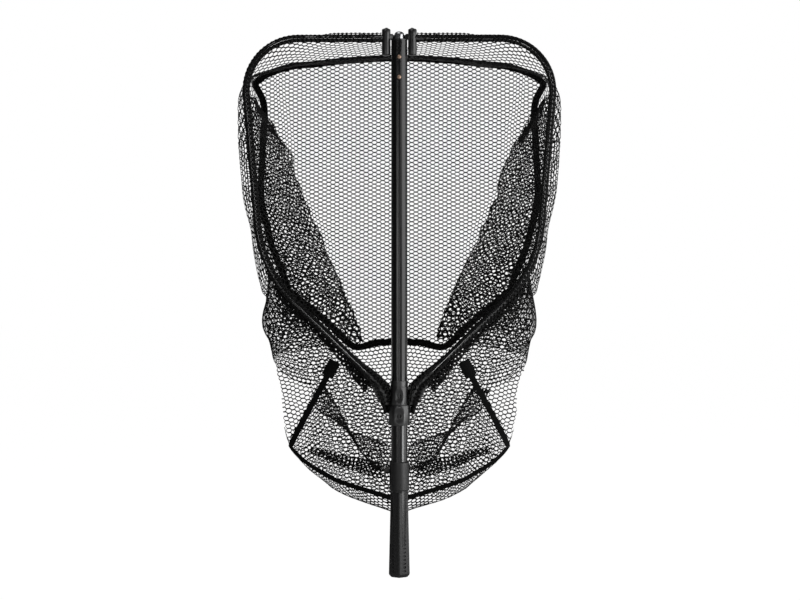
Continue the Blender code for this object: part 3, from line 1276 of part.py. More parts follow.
def build_bag(parts, finishes):
    """Every soft piece of the bag."""
    rings = bag_rings()
    pieces = []
    for side, word in ((LEFT, "left"), (RIGHT, "right")):
        pieces += bag_panels(side, word, parts, finishes, rings)
        pieces.append(arm_patch("arm_patch_" + word, side, parts, finishes, rings))
        pieces.append(net_fold("net_fold_" + word, side, parts, finishes, rings))
        pieces.append(net_drape("net_drape_" + word, side, parts, finishes, rings))
    return pieces + [back_panel(parts, finishes, rings), rear_tape(parts, finishes, rings),
                     front_tape(parts, finishes, rings)]


build()
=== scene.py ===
"""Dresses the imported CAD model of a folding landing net: finishes, knotless netting, bindings and light.

Sizes are written in millimetres and turned to metres by one function. The mouth of the net lies in the
XZ plane, the bag hangs behind it towards +Y, and the camera looks along +Y.
"""
from __future__ import annotations

import json
import logging
import math
from dataclasses import dataclass, field
from enum import Enum
from typing import Any, Callable, Sequence

import bmesh
import bpy
from mathutils import Matrix, Vector, noise

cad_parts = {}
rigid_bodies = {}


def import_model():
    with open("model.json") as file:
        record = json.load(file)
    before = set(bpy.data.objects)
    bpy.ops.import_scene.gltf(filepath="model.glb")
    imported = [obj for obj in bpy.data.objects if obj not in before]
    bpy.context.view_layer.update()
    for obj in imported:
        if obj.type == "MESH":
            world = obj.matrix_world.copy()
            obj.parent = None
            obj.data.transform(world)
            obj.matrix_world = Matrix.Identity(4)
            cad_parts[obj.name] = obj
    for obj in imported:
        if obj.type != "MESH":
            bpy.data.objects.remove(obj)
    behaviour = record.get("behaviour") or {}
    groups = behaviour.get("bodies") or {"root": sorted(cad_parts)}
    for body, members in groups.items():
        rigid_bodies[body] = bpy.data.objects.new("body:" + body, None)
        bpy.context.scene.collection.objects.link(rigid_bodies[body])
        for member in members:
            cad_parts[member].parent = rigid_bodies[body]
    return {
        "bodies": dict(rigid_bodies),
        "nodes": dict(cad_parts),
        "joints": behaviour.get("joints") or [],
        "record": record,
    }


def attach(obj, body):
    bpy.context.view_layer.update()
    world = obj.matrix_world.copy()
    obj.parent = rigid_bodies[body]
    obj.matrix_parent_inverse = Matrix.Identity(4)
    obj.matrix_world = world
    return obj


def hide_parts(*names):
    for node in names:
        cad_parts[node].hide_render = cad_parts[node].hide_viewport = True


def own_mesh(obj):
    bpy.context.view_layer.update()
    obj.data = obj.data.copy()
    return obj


LOG = logging.getLogger("landing_net")
Rows = list[list[Vector]]


class Side(Enum):
    """The two halves of the net, by the sign of their x."""

    LEFT = -1
    RIGHT = 1

    @property
    def word(self) -> str:
        """The half's name in lower case."""
        return self.name.lower()

    @property
    def frame_body(self) -> str:
        """The CAD body of this half of the hoop."""
        return self.word + "_frame"


class Zone(Enum):
    """The strips of the bag: the middle one, and one on each side of it."""

    LEFT = -1
    MIDDLE = 0
    RIGHT = 1


# Numbers and small helpers

MIDDLE_HALF_MM = 33.0
# The bag's skin is read at stations from 0, the middle of the top, to the middle below the yoke, and at
# depths from 0, its mouth, over 1, the front binding, to the rear panel
LAST_STATION = 13.0
REAR_DEPTH = 3.0


def mm(value: float) -> float:
    """Millimetres to metres."""
    return value / 1000.0


def at(x: float, y: float, z: float) -> Vector:
    """A point given in millimetres."""
    return Vector((mm(x), mm(y), mm(z)))


def linear(code: str) -> tuple[float, float, float, float]:
    """Turn an sRGB hex colour into the linear colour that shaders take.

    Args:
        code: The colour as six hex digits, with or without a leading sign.

    Returns:
        Red, green, blue and an alpha of one.
    """
    digits = code.lstrip("#")
    shares = [int(digits[index:index + 2], 16) / 255 for index in (0, 2, 4)]
    return (*[s / 12.92 if s <= 0.04045 else ((s + 0.055) / 1.055) ** 2.4 for s in shares], 1.0)


def mix(a: float, b: float, share: float) -> float:
    """The value a share of the way from a to b."""
    return a + (b - a) * share


def smooth_step(low: float, high: float, value: float) -> float:
    """Zero below low, one above high, and a smooth rise between."""
    share = min(max((value - low) / (high - low), 0.0), 1.0)
    return share * share * (3 - 2 * share)


def spread(start: float, end: float, count: int) -> list[float]:
    """Evenly spaced values from start to end, both among them."""
    return [mix(start, end, step / count) for step in range(count + 1)]


def through(points: Sequence[Any], place: float) -> Any:
    """Read a smooth curve through numbers or points at a fractional index.

    Args:
        points: The numbers or vectors that the curve passes through.
        place: The index, with a fraction.

    Returns:
        A number or a vector, as the points are.
    """
    index = min(max(int(place), 0), len(points) - 2)
    share = min(max(place - index, 0.0), 1.0)
    start, end = points[index], points[index + 1]
    before = points[index - 1] if index > 0 else start * 2 - end
    after = points[index + 2] if index + 2 < len(points) else end * 2 - start
    weights = ((1 - share) ** 3, 3 * share * (1 - share) ** 2, 3 * share ** 2 * (1 - share), share ** 3)
    handles = (start, start + (end - before) / 6, end - (after - start) / 6, end)
    total = handles[0] * weights[0]
    for handle, weight in zip(handles[1:], weights[1:]):
        total = total + handle * weight
    return total


def add_node(tree: bpy.types.NodeTree, kind: str, inputs: dict[Any, Any] | None = None,
             **settings: Any) -> bpy.types.Node:
    """Add a node with its settings, values and links.

    Args:
        tree: The tree that gets the node.
        kind: The node's type name.
        inputs: What goes into each input, by its name or index: a value, a socket to link from, or a node
            whose first output is linked.
        **settings: The node's own properties.

    Returns:
        The new node.
    """
    made = tree.nodes.new(kind)
    for name, value in settings.items():
        setattr(made, name, value)
    for key, value in (inputs or {}).items():
        socket = made.inputs[key]
        if isinstance(value, bpy.types.Node):
            tree.links.new(value.outputs[0], socket)
        elif isinstance(value, bpy.types.NodeSocket):
            tree.links.new(value, socket)
        else:
            socket.default_value = value
    return made


# Finishes

@dataclass(frozen=True)
class Finish:
    """A surface finish: base colour, gloss and the small relief that the making leaves."""

    name: str
    colour: str
    roughness: float
    metallic: float = 0.0
    ior: float | None = None
    patch_mm: float = 60.0
    patch_colour: str | None = None
    patch_roughness: float = 0.06
    grain_mm: float = 0.6
    grain_height_mm: float = 0.01
    gloss_level: float = 0.5
    coat: float = 0.0

    def relief(self, tree: bpy.types.NodeTree, place: bpy.types.NodeSocket) -> bpy.types.NodeSocket:
        """Height of the fine relief: the grain of the mould or of the blasted metal."""
        grain = add_node(tree, "ShaderNodeTexNoise",
                         {"Vector": place, "Scale": 1000.0 / self.grain_mm, "Detail": 3.0, "Roughness": 0.6})
        return grain.outputs[0]

    def build(self) -> bpy.types.Material:
        """Make the material.

        Returns:
            A node material on Object coordinates.
        """
        material = bpy.data.materials.new(self.name)
        material.use_nodes = True
        tree = material.node_tree
        shader = tree.nodes["Principled BSDF"]
        place = add_node(tree, "ShaderNodeTexCoord").outputs["Object"]
        shader.inputs["Metallic"].default_value = self.metallic
        if self.ior is not None:
            shader.inputs["IOR"].default_value = self.ior
        shader.inputs["Coat Weight"].default_value = self.coat
        shader.inputs["Specular IOR Level"].default_value = self.gloss_level
        patches = add_node(tree, "ShaderNodeTexNoise",
                           {"Vector": place, "Scale": 1000.0 / self.patch_mm, "Detail": 4.0})
        tone = add_node(tree, "ShaderNodeMix", {0: patches, 6: linear(self.colour),
                                                7: linear(self.patch_colour or self.colour)},
                        data_type="RGBA")
        gloss = add_node(tree, "ShaderNodeMapRange",
                         {0: patches, 1: 0.3, 2: 0.7, 3: self.roughness - self.patch_roughness,
                          4: self.roughness + self.patch_roughness})
        bump = add_node(tree, "ShaderNodeBump",
                        {"Height": self.relief(tree, place), "Distance": mm(self.grain_height_mm),
                         "Strength": 1.0})
        tree.links.new(tone.outputs[2], shader.inputs["Base Color"])
        tree.links.new(gloss.outputs[0], shader.inputs["Roughness"])
        tree.links.new(bump.outputs[0], shader.inputs["Normal"])
        return material


@dataclass(frozen=True)
class DrawnTubeFinish(Finish):
    """Black anodised tube: fine lines along its length are left by the drawing die."""

    line_mm: float = 0.5

    def relief(self, tree: bpy.types.NodeTree, place: bpy.types.NodeSocket) -> bpy.types.NodeSocket:
        """Height of the drawing lines, stretched along the handle."""
        stretched = add_node(tree, "ShaderNodeMapping", {0: place, 3: (1.0, 1.0, 0.01)})
        lines = add_node(tree, "ShaderNodeTexNoise",
                         {"Vector": stretched, "Scale": 1000.0 / self.line_mm, "Detail": 2.0})
        return lines.outputs[0]


@dataclass(frozen=True)
class WovenTapeFinish(Finish):
    """Polyester binding tape: cross ribs a millimetre apart and a matt, slightly hairy surface."""

    rib_mm: float = 1.1

    def relief(self, tree: bpy.types.NodeTree, place: bpy.types.NodeSocket) -> bpy.types.NodeSocket:
        """Height of the ribs, read along the tape's own map."""
        own_map = add_node(tree, "ShaderNodeUVMap", uv_map="cut")
        ribs = add_node(tree, "ShaderNodeTexWave",
                        {"Vector": own_map, "Scale": 1000.0 / self.rib_mm / 20 * math.pi,
                         "Distortion": 0.6, "Detail": 1.0},
                        wave_type="BANDS", bands_direction="X")
        yarn = add_node(tree, "ShaderNodeTexWave",
                        {"Vector": own_map, "Scale": 1000.0 / (self.rib_mm * 1.3) / 20 * math.pi,
                         "Distortion": 0.6, "Detail": 1.0},
                        wave_type="BANDS", bands_direction="Y")
        both = add_node(tree, "ShaderNodeMath", {0: ribs.outputs[1], 1: yarn.outputs[1]},
                        operation="MULTIPLY")
        return both.outputs[0]


# Black anodised aluminium: a dyed oxide skin, satin, that shows soft grey bands of light
ANODISED_TUBE = DrawnTubeFinish("anodised_aluminium_drawn", "#050506", 0.24, 0.0, 1.60, 90, "#08080a", 0.03,
                                0.5, 0.003)
# The same skin on the bent tube of the hoop: smoother, so a lamp shows as a thin bright line
ANODISED_HOOP = Finish("anodised_aluminium_bent", "#050506", 0.12, 0.0, 1.60, 90, "#08080a", 0.03, 0.5,
                       0.002, 1.0)
# Turned and tumbled aluminium: bright, with faint turning marks worn smooth
TURNED_ALUMINIUM = Finish("aluminium_turned", "#d3d4d6", 0.20, 1.0, None, 8, "#b9babd", 0.05, 0.3, 0.004)
# Glass-filled nylon from a textured mould: dark grey bloom over black, low gloss
MOULDED_NYLON = Finish("nylon_moulded", "#0c0c0d", 0.34, 0.0, 1.53, 25, "#101011", 0.06, 0.45, 0.02, 0.9)
# Vulcanised rubber: matt, slightly blotched by handling
GRIP_RUBBER = Finish("rubber_moulded", "#080809", 0.48, 0.0, 1.52, 30, "#0c0c0d", 0.07, 0.5, 0.025, 0.6)
# Brass with a copper tone: pressed and tumbled, with darker patches here and there from handling
TUMBLED_BRASS = Finish("brass_tumbled", "#f0d3bd", 0.42, 1.0, None, 4, "#8a6247", 0.08, 0.3, 0.004)
# Zinc-plated steel: cool grey, a little cloudy
PLATED_STEEL = Finish("steel_zinc_plated", "#8b8d90", 0.34, 1.0, None, 3, "#6f7174", 0.08, 0.3, 0.004)
# Steel with a black oxide skin: dark, faintly brown, with a dull gleam
BLACKENED_STEEL = Finish("steel_black_oxide", "#0a0908", 0.40, 0.0, 1.60, 3, "#12100e", 0.06, 0.3, 0.003)
# Rubber-coated nylon netting: dipped strands, smooth and black with hardly any gloss
COATED_NETTING = Finish("netting_rubber_coated", "#040404", 0.50, 0.0, 1.52, 12, "#080808", 0.08, 1.2,
                        0.05, 0.2)
# Woven polyester binding: matt black, with fine cross ribs
BINDING = WovenTapeFinish("polyester_binding_woven", "#030303", 0.85, 0.0, 1.5, 40, "#060606", 0.05,
                          gloss_level=0.15)


@dataclass
class Finishes:
    """The built materials, made once and shared."""

    made: dict[str, bpy.types.Material] = field(default_factory=dict)

    def of(self, finish: Finish) -> bpy.types.Material:
        """The material of a finish, built at its first use."""
        if finish.name not in self.made:
            self.made[finish.name] = finish.build()
        return self.made[finish.name]


# Meshes

def mesh_object(name: str, mesh: bpy.types.Mesh, material: bpy.types.Material | None) -> bpy.types.Object:
    """Put a mesh in the scene as an object at the origin, with one material."""
    mesh.name = name
    thing = bpy.data.objects.new(name, mesh)
    bpy.context.scene.collection.objects.link(thing)
    if material is not None:
        mesh.materials.clear()
        mesh.materials.append(material)
    return thing


def surface(name: str, rows: Rows, cuts: Sequence[Sequence[tuple[float, float]]] | None = None,
            wrap: bool = False) -> bpy.types.Object:
    """Make a sheet of four-sided faces through rows of points, with a flat map of its cloth in metres.

    Args:
        name: The object's name.
        rows: Points, row after row, all rows of one length.
        cuts: Where each point lies on the flat cloth. Lengths along the sheet if left out.
        wrap: Whether the last point of a row joins its first.

    Returns:
        The object, with the map named cut.
    """
    if cuts is None:
        cuts = flat_lengths(rows, wrap)
    width = len(rows[0])
    verts = [tuple(point) for row in rows for point in row]
    faces, corners = [], []
    for low in range(len(rows) - 1):
        for index in range(width if wrap else width - 1):
            after = (index + 1) % width
            faces.append((low * width + index, low * width + after,
                          (low + 1) * width + after, (low + 1) * width + index))
            corners += [cuts[low][index], cuts[low][index + 1],
                        cuts[low + 1][index + 1], cuts[low + 1][index]]
    mesh = bpy.data.meshes.new(name)
    mesh.from_pydata(verts, [], faces)
    layer = mesh.uv_layers.new(name="cut")
    layer.data.foreach_set("uv", [value for corner in corners for value in corner])
    mesh.shade_smooth()
    return mesh_object(name, mesh, None)


def flat_lengths(rows: Rows, wrap: bool = False) -> list[list[tuple[float, float]]]:
    """Lay rows of points out flat, each way by its mean length.

    Args:
        rows: The points.
        wrap: Whether each row closes on itself.

    Returns:
        For each point, its place along the rows and across them. A row that closes has one place more.
    """
    width = len(rows[0])
    along, across = [0.0], [0.0]
    for index in range(width if wrap else width - 1):
        after = (index + 1) % width
        step = sum((row[after] - row[index]).length for row in rows) / len(rows)
        along.append(along[-1] + step)
    for low, high in zip(rows, rows[1:]):
        step = sum((b - a).length for a, b in zip(low, high)) / width
        across.append(across[-1] + step)
    return [[(u, v) for u in along] for v in across]


def from_middle(rows: Rows, side: Side) -> list[list[tuple[float, float]]]:
    """Lay a sheet out flat, each row by its own length from the object's middle plane.

    Args:
        rows: The points, each row running away from the middle.
        side: The half that the sheet belongs to.

    Returns:
        For each point, its place on the flat cloth.
    """
    flat = []
    for row, line in zip(rows, flat_lengths(rows)):
        along = side.value * row[0].x
        cuts = [(along, line[0][1])]
        for before, after in zip(row, row[1:]):
            along += (after - before).length
            cuts.append((along, line[0][1]))
        flat.append(cuts)
    return flat


def seen_from_front(rows: Rows, side: Side, turns_at: int) -> list[list[tuple[float, float]]]:
    """Lay a sheet out as it is seen from the front, and unroll the part that runs away from the eye.

    Args:
        rows: The points, from the front to the rear.
        side: The half that the sheet belongs to.
        turns_at: The first row that faces the eye. The rows before it are unrolled outwards from it.

    Returns:
        For each point, its place on the flat cloth.
    """
    flat = [[(-side.value * point.x, point.z) for point in row] for row in rows]
    edge = [Vector(pair) for pair in flat[turns_at]]
    for index, point in enumerate(edge):
        ahead = (edge[min(index + 1, len(edge) - 1)] - edge[max(index - 1, 0)]).normalized()
        outwards = Vector((ahead.y, -ahead.x))
        length = 0.0
        for low in reversed(range(turns_at)):
            length += (rows[low + 1][index] - rows[low][index]).length
            flat[low][index] = tuple(point + outwards * length)
    return flat


def drop_outside(thing: bpy.types.Object, keep: Callable[[Vector], bool]) -> None:
    """Delete the faces of a sheet whose middle a test turns down."""
    shape = bmesh.new()
    shape.from_mesh(thing.data)
    gone = [face for face in shape.faces if not keep(face.calc_center_median())]
    bmesh.ops.delete(shape, geom=gone, context="FACES")
    shape.to_mesh(thing.data)
    shape.free()


def tube_rows(path: Sequence[Vector], radius: Callable[[float], float], sides: int,
              start_turn: float = 0.0, end_turn: float = 2 * math.pi, closed: bool = True) -> Rows:
    """Rings of points round a path that lies in the XZ plane.

    Args:
        path: The path's points.
        radius: The radius at a length along the path, in metres.
        sides: How many steps there are round the tube.
        start_turn: Where each ring starts, from the viewer's side round the outside of the curve.
        end_turn: Where each ring ends.
        closed: Whether the rings close, so that the last point is left out.

    Returns:
        One row of points for each point of the path.
    """
    rows: Rows = []
    length = 0.0
    for index, point in enumerate(path):
        before, after = path[max(index - 1, 0)], path[min(index + 1, len(path) - 1)]
        ahead = (after - before).normalized()
        front = Vector((0, -1, 0))
        aside = ahead.cross(front).normalized()
        if index:
            length += (point - path[index - 1]).length
        reach = radius(length)
        turns = spread(start_turn, end_turn, sides)
        if closed:
            turns = turns[:-1]
        rows.append([point + (front * math.cos(turn) + aside * math.sin(turn)) * reach for turn in turns])
    return rows


def solid_tube(name: str, path: Sequence[Vector], radius: Callable[[float], float], sides: int,
               material: bpy.types.Material) -> bpy.types.Object:
    """A round bar along a path, closed at both ends, with a radius for each length along it."""
    rows = tube_rows(path, radius, sides)
    thing = surface(name, rows, wrap=True)
    shape = bmesh.new()
    shape.from_mesh(thing.data)
    bmesh.ops.holes_fill(shape, edges=[edge for edge in shape.edges if edge.is_boundary])
    bmesh.ops.recalc_face_normals(shape, faces=shape.faces)
    shape.to_mesh(thing.data)
    shape.free()
    thing.data.materials.append(material)
    thing.data.shade_smooth()
    thing.data.set_sharp_from_angle(angle=math.radians(50))
    return thing


def ribbon(name: str, path: Sequence[tuple[Vector, Vector]], width: float, thickness: float, stand: float,
           material: bpy.types.Material) -> bpy.types.Object:
    """A woven tape laid along a path.

    Args:
        name: The object's name.
        path: Points on the cloth with the outward direction at each.
        width: The tape's width in metres.
        thickness: Its thickness in metres.
        stand: How far its middle stands off the cloth.
        material: Its finish.

    Returns:
        The closed tape with softly rounded edges.
    """
    rows: Rows = []
    turns = ((-1.0, 0.0), (-0.94, 0.5), (0.0, 0.56), (0.94, 0.5), (1.0, 0.0), (0.94, -0.5), (0.0, -0.5),
             (-0.94, -0.5))
    for index, (point, normal) in enumerate(path):
        before, after = path[max(index - 1, 0)][0], path[min(index + 1, len(path) - 1)][0]
        ahead = (after - before).normalized()
        across = ahead.cross(normal).normalized()
        out = across.cross(ahead).normalized()
        base = point + normal * stand
        rows.append([base + across * (width / 2 * a) + out * (thickness * b) for a, b in turns])
    thing = surface(name, rows, wrap=True)
    shape = bmesh.new()
    shape.from_mesh(thing.data)
    bmesh.ops.holes_fill(shape, edges=[edge for edge in shape.edges if edge.is_boundary])
    bmesh.ops.recalc_face_normals(shape, faces=shape.faces)
    shape.to_mesh(thing.data)
    shape.free()
    thing.data.materials.append(material)
    thing.data.shade_smooth()
    thing.data.set_sharp_from_angle(angle=math.radians(60))
    return thing


def dressed_copy(node: str, material: bpy.types.Material, edge_mm: float = 0.0,
                 sharp: float = 32.0) -> bpy.types.Object:
    """A smooth copy of a CAD node that stands for it.

    Args:
        node: The CAD node's name.
        material: The copy's finish.
        edge_mm: The radius to break its sharp edges by, or zero.
        sharp: The angle in degrees past which an edge stays sharp.

    Returns:
        The copy, which replaces the node.
    """
    shape = bmesh.new()
    shape.from_mesh(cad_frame()["nodes"][node].data)
    shape.transform(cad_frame()["nodes"][node].matrix_world)
    bmesh.ops.remove_doubles(shape, verts=shape.verts, dist=0.000002)
    bmesh.ops.dissolve_limit(shape, angle_limit=math.radians(0.5), verts=shape.verts, edges=shape.edges)
    mesh = bpy.data.meshes.new(node)
    shape.to_mesh(mesh)
    shape.free()
    thing = mesh_object("dressed_" + node, mesh, material)
    if edge_mm > 0:
        broken = thing.modifiers.new("edges", "BEVEL")
        broken.width = mm(edge_mm)
        broken.segments = 2
        broken.limit_method = "ANGLE"
        broken.angle_limit = math.radians(sharp)
        broken.use_clamp_overlap = True
        bake(thing)
    thing.data.shade_smooth()
    thing.data.set_sharp_from_angle(angle=math.radians(sharp))
    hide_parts(node)
    return thing


def bake(thing: bpy.types.Object) -> None:
    """Turn an object's modifiers into plain mesh."""
    shown = thing.evaluated_get(bpy.context.evaluated_depsgraph_get())
    mesh = bpy.data.meshes.new_from_object(shown)
    old = thing.data
    thing.modifiers.clear()
    thing.data = mesh
    bpy.data.meshes.remove(old)


_FRAME: dict[str, Any] = {}


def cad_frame() -> dict[str, Any]:
    """The loaded CAD frame, read from disk once."""
    if not _FRAME:
        _FRAME.update(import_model())
    return _FRAME


# Geometry Nodes

@dataclass(frozen=True)
class NetGauge:
    """The netting's real sizes: columns of six-sided holes, each hole half a pitch off its neighbours."""

    column_mm: float = 8.8
    pitch_mm: float = 8.4
    hole_wide: float = 0.86
    hole_tall: float = 0.66
    thickness_mm: float = 1.5
    turn_deg: float = 0.0
    wander_mm: float = 0.5


# The bag's side netting, pulled towards the hoop, its strands drawn thin
DRAWN = NetGauge(hole_wide=0.80, hole_tall=0.64, thickness_mm=1.0, turn_deg=22.0, wander_mm=1.8)
# The narrow strip that stands up behind the hoop's top run
RAISED = NetGauge(hole_wide=0.82, hole_tall=0.64, thickness_mm=0.9, wander_mm=0.7)
# The top netting, which falls straight from the hoop
FALLING = NetGauge(hole_tall=0.64, thickness_mm=1.3, turn_deg=8.0, wander_mm=1.2)
# The lower bag: the pouch, the apron in front of it, and the loose folds inside
LOWER = NetGauge(hole_wide=0.84, hole_tall=0.68, thickness_mm=1.4, turn_deg=-20.0, wander_mm=1.3)
FRONT = NetGauge(hole_wide=0.84, hole_tall=0.70, thickness_mm=1.3, turn_deg=12.0, wander_mm=1.6)
FOLDED = NetGauge(hole_wide=0.74, hole_tall=0.70, turn_deg=38.0, wander_mm=2.0)
# Gathered round the hoop in two layers, and more loosely along the arm and in rolls
GATHERED_INNER = NetGauge(hole_wide=0.32, hole_tall=0.20, thickness_mm=0.9)
GATHERED_OUTER = NetGauge(hole_wide=0.66, hole_tall=0.50, thickness_mm=1.3)
GATHERED_ARM = NetGauge(hole_wide=0.52, hole_tall=0.42, thickness_mm=1.3, turn_deg=20.0, wander_mm=2.0)


@dataclass
class NettingTree:
    """A Geometry Nodes tree that grows knotless netting over a sheet by the sheet's flat map."""

    finish: bpy.types.Material
    tree: bpy.types.NodeTree | None = None

    INPUTS = (("Columns", "NodeSocketInt"), ("Rows", "NodeSocketInt"), ("Column", "NodeSocketFloat"),
              ("Pitch", "NodeSocketFloat"), ("Start", "NodeSocketVector"),
              ("Hole width share", "NodeSocketFloat"), ("Hole height share", "NodeSocketFloat"),
              ("Thickness", "NodeSocketFloat"),
              ("From x", "NodeSocketFloat"), ("To x", "NodeSocketFloat"), ("Turn", "NodeSocketFloat"),
              ("Wander", "NodeSocketFloat"), ("Finish", "NodeSocketMaterial"))

    def math(self, operation: str, *values: Any) -> bpy.types.NodeSocket:
        """The result of one Math node."""
        return add_node(self.tree, "ShaderNodeMath", dict(enumerate(values)), operation=operation).outputs[0]

    def sampled(self, given: bpy.types.Node) -> bpy.types.Node:
        """Where a place on the flat map lies on the sheet."""
        own_map = add_node(self.tree, "GeometryNodeInputNamedAttribute", {"Name": "cut"},
                           data_type="FLOAT_VECTOR").outputs[0]
        return add_node(self.tree, "GeometryNodeSampleUVSurface",
                        {"Mesh": given.outputs[0], "Value": add_node(self.tree, "GeometryNodeInputPosition"),
                         "UV Map": own_map, "Sample UV": add_node(self.tree, "GeometryNodeInputPosition")},
                        data_type="FLOAT_VECTOR")

    def lattice(self, given: bpy.types.Node) -> bpy.types.NodeSocket:
        """Flat six-sided cells over the whole of the sheet's map."""
        tree = self.tree
        width = self.math("MULTIPLY", self.math("SUBTRACT", given.outputs["Columns"], 1.0),
                          given.outputs["Column"])
        height = self.math("MULTIPLY", self.math("SUBTRACT", given.outputs["Rows"], 1.0),
                           given.outputs["Pitch"])
        grid = add_node(tree, "GeometryNodeMeshGrid",
                        {0: width, 1: height, 2: given.outputs["Columns"], 3: given.outputs["Rows"]})
        place = add_node(tree, "ShaderNodeSeparateXYZ", {0: add_node(tree, "GeometryNodeInputPosition")})
        from_left = self.math("ADD", place.outputs[0], self.math("MULTIPLY", width, 0.5))
        number = self.math("ROUND", self.math("DIVIDE", from_left, given.outputs["Column"]))
        odd = self.math("MULTIPLY", self.math("MODULO", number, 2.0),
                        self.math("MULTIPLY", given.outputs["Pitch"], 0.5))
        shifted = add_node(tree, "GeometryNodeSetPosition",
                           {"Geometry": grid, "Offset": add_node(tree, "ShaderNodeCombineXYZ", {1: odd})})
        triangles = add_node(tree, "GeometryNodeTriangulate", {0: shifted})
        cells = add_node(tree, "GeometryNodeDualMesh", {0: triangles})
        middle = add_node(tree, "ShaderNodeCombineXYZ",
                          {0: self.math("MULTIPLY", width, 0.5), 1: self.math("MULTIPLY", height, 0.5)})
        offset = add_node(tree, "ShaderNodeVectorMath", {0: middle, 1: given.outputs["Start"]},
                          operation="ADD")
        own = add_node(tree, "ShaderNodeVectorMath",
                       {0: add_node(tree, "GeometryNodeInputPosition"), 1: offset}, operation="ADD")
        cloud = add_node(tree, "ShaderNodeTexNoise", {"Vector": own, "Scale": 38.0, "Detail": 0.0})
        centred = add_node(tree, "ShaderNodeVectorMath",
                           {0: cloud.outputs["Color"], 1: (0.5, 0.5, 0.5)}, operation="SUBTRACT")
        reach = self.math("MULTIPLY", given.outputs["Wander"], 4.0)
        stray = add_node(tree, "ShaderNodeCombineXYZ", {0: reach, 1: reach})
        strayed = add_node(tree, "ShaderNodeVectorMath", {0: centred, 1: stray, 2: own},
                           operation="MULTIPLY_ADD")
        turned = add_node(tree, "ShaderNodeVectorRotate", {"Vector": strayed, "Angle": given.outputs["Turn"]},
                          rotation_type="Z_AXIS")
        return add_node(tree, "GeometryNodeSetPosition", {"Geometry": cells, "Position": turned}).outputs[0]

    def holes(self, cells: bpy.types.NodeSocket, given: bpy.types.Node) -> bpy.types.NodeSocket:
        """Cut a hole in each flat cell, wide and low, so that the level strands are the thick ones."""
        tree = self.tree
        pushed = add_node(tree, "GeometryNodeExtrudeMesh",
                          {"Mesh": cells, "Offset Scale": 0.0, "Individual": True}, mode="FACES")
        shape: Any = pushed
        for share, axis in (("Hole width share", (1.0, 0.0, 0.0)), ("Hole height share", (0.0, 1.0, 0.0))):
            shape = add_node(tree, "GeometryNodeScaleElements",
                             {"Geometry": shape, "Selection": pushed.outputs["Top"],
                              "Scale": given.outputs[share], "Axis": axis}, scale_mode="SINGLE_AXIS")
        noted = add_node(tree, "GeometryNodeStoreNamedAttribute",
                         {"Geometry": shape, "Name": "hole", "Value": pushed.outputs["Top"]},
                         data_type="FLOAT", domain="POINT")
        return add_node(tree, "GeometryNodeDeleteGeometry", {0: noted, 1: pushed.outputs["Top"]},
                        domain="FACE").outputs[0]

    def strands(self, flat: Any, given: bpy.types.Node) -> bpy.types.NodeSocket:
        """Give the lattice its body: a ridge along each strand on both sides, thin at the holes."""
        tree = self.tree
        alone = self.math("LESS_THAN", add_node(tree, "GeometryNodeInputMeshEdgeNeighbors"), 1.5)
        hole = add_node(tree, "GeometryNodeInputNamedAttribute", {"Name": "hole"},
                        data_type="FLOAT").outputs[0]
        border = self.math("MULTIPLY", alone, self.math("LESS_THAN", hole, 0.9))
        walled = add_node(tree, "GeometryNodeExtrudeMesh",
                          {"Mesh": flat, "Selection": border, "Offset Scale": 0.0}, mode="EDGES")
        marked = add_node(tree, "GeometryNodeStoreNamedAttribute",
                          {"Geometry": walled, "Name": "rim", "Value": alone},
                          data_type="FLOAT", domain="EDGE")
        rim = add_node(tree, "GeometryNodeInputNamedAttribute", {"Name": "rim"}, data_type="FLOAT").outputs[0]
        rise = self.math("MULTIPLY", self.math("LESS_THAN", rim, 0.001),
                         self.math("MULTIPLY", given.outputs["Thickness"], 0.5))
        push = add_node(tree, "ShaderNodeVectorMath",
                        {0: add_node(tree, "GeometryNodeInputNormal"), 3: rise}, operation="SCALE")
        back = add_node(tree, "ShaderNodeVectorMath", {0: push, 3: -1.0}, operation="SCALE")
        upper = add_node(tree, "GeometryNodeSetPosition", {"Geometry": marked, "Offset": push})
        lower = add_node(tree, "GeometryNodeFlipFaces",
                         {0: add_node(tree, "GeometryNodeSetPosition", {"Geometry": marked, "Offset": back})})
        both = add_node(tree, "GeometryNodeJoinGeometry", {0: upper})
        tree.links.new(lower.outputs[0], both.inputs[0])
        return add_node(tree, "GeometryNodeMergeByDistance", {0: both, "Distance": 0.00001}).outputs[0]

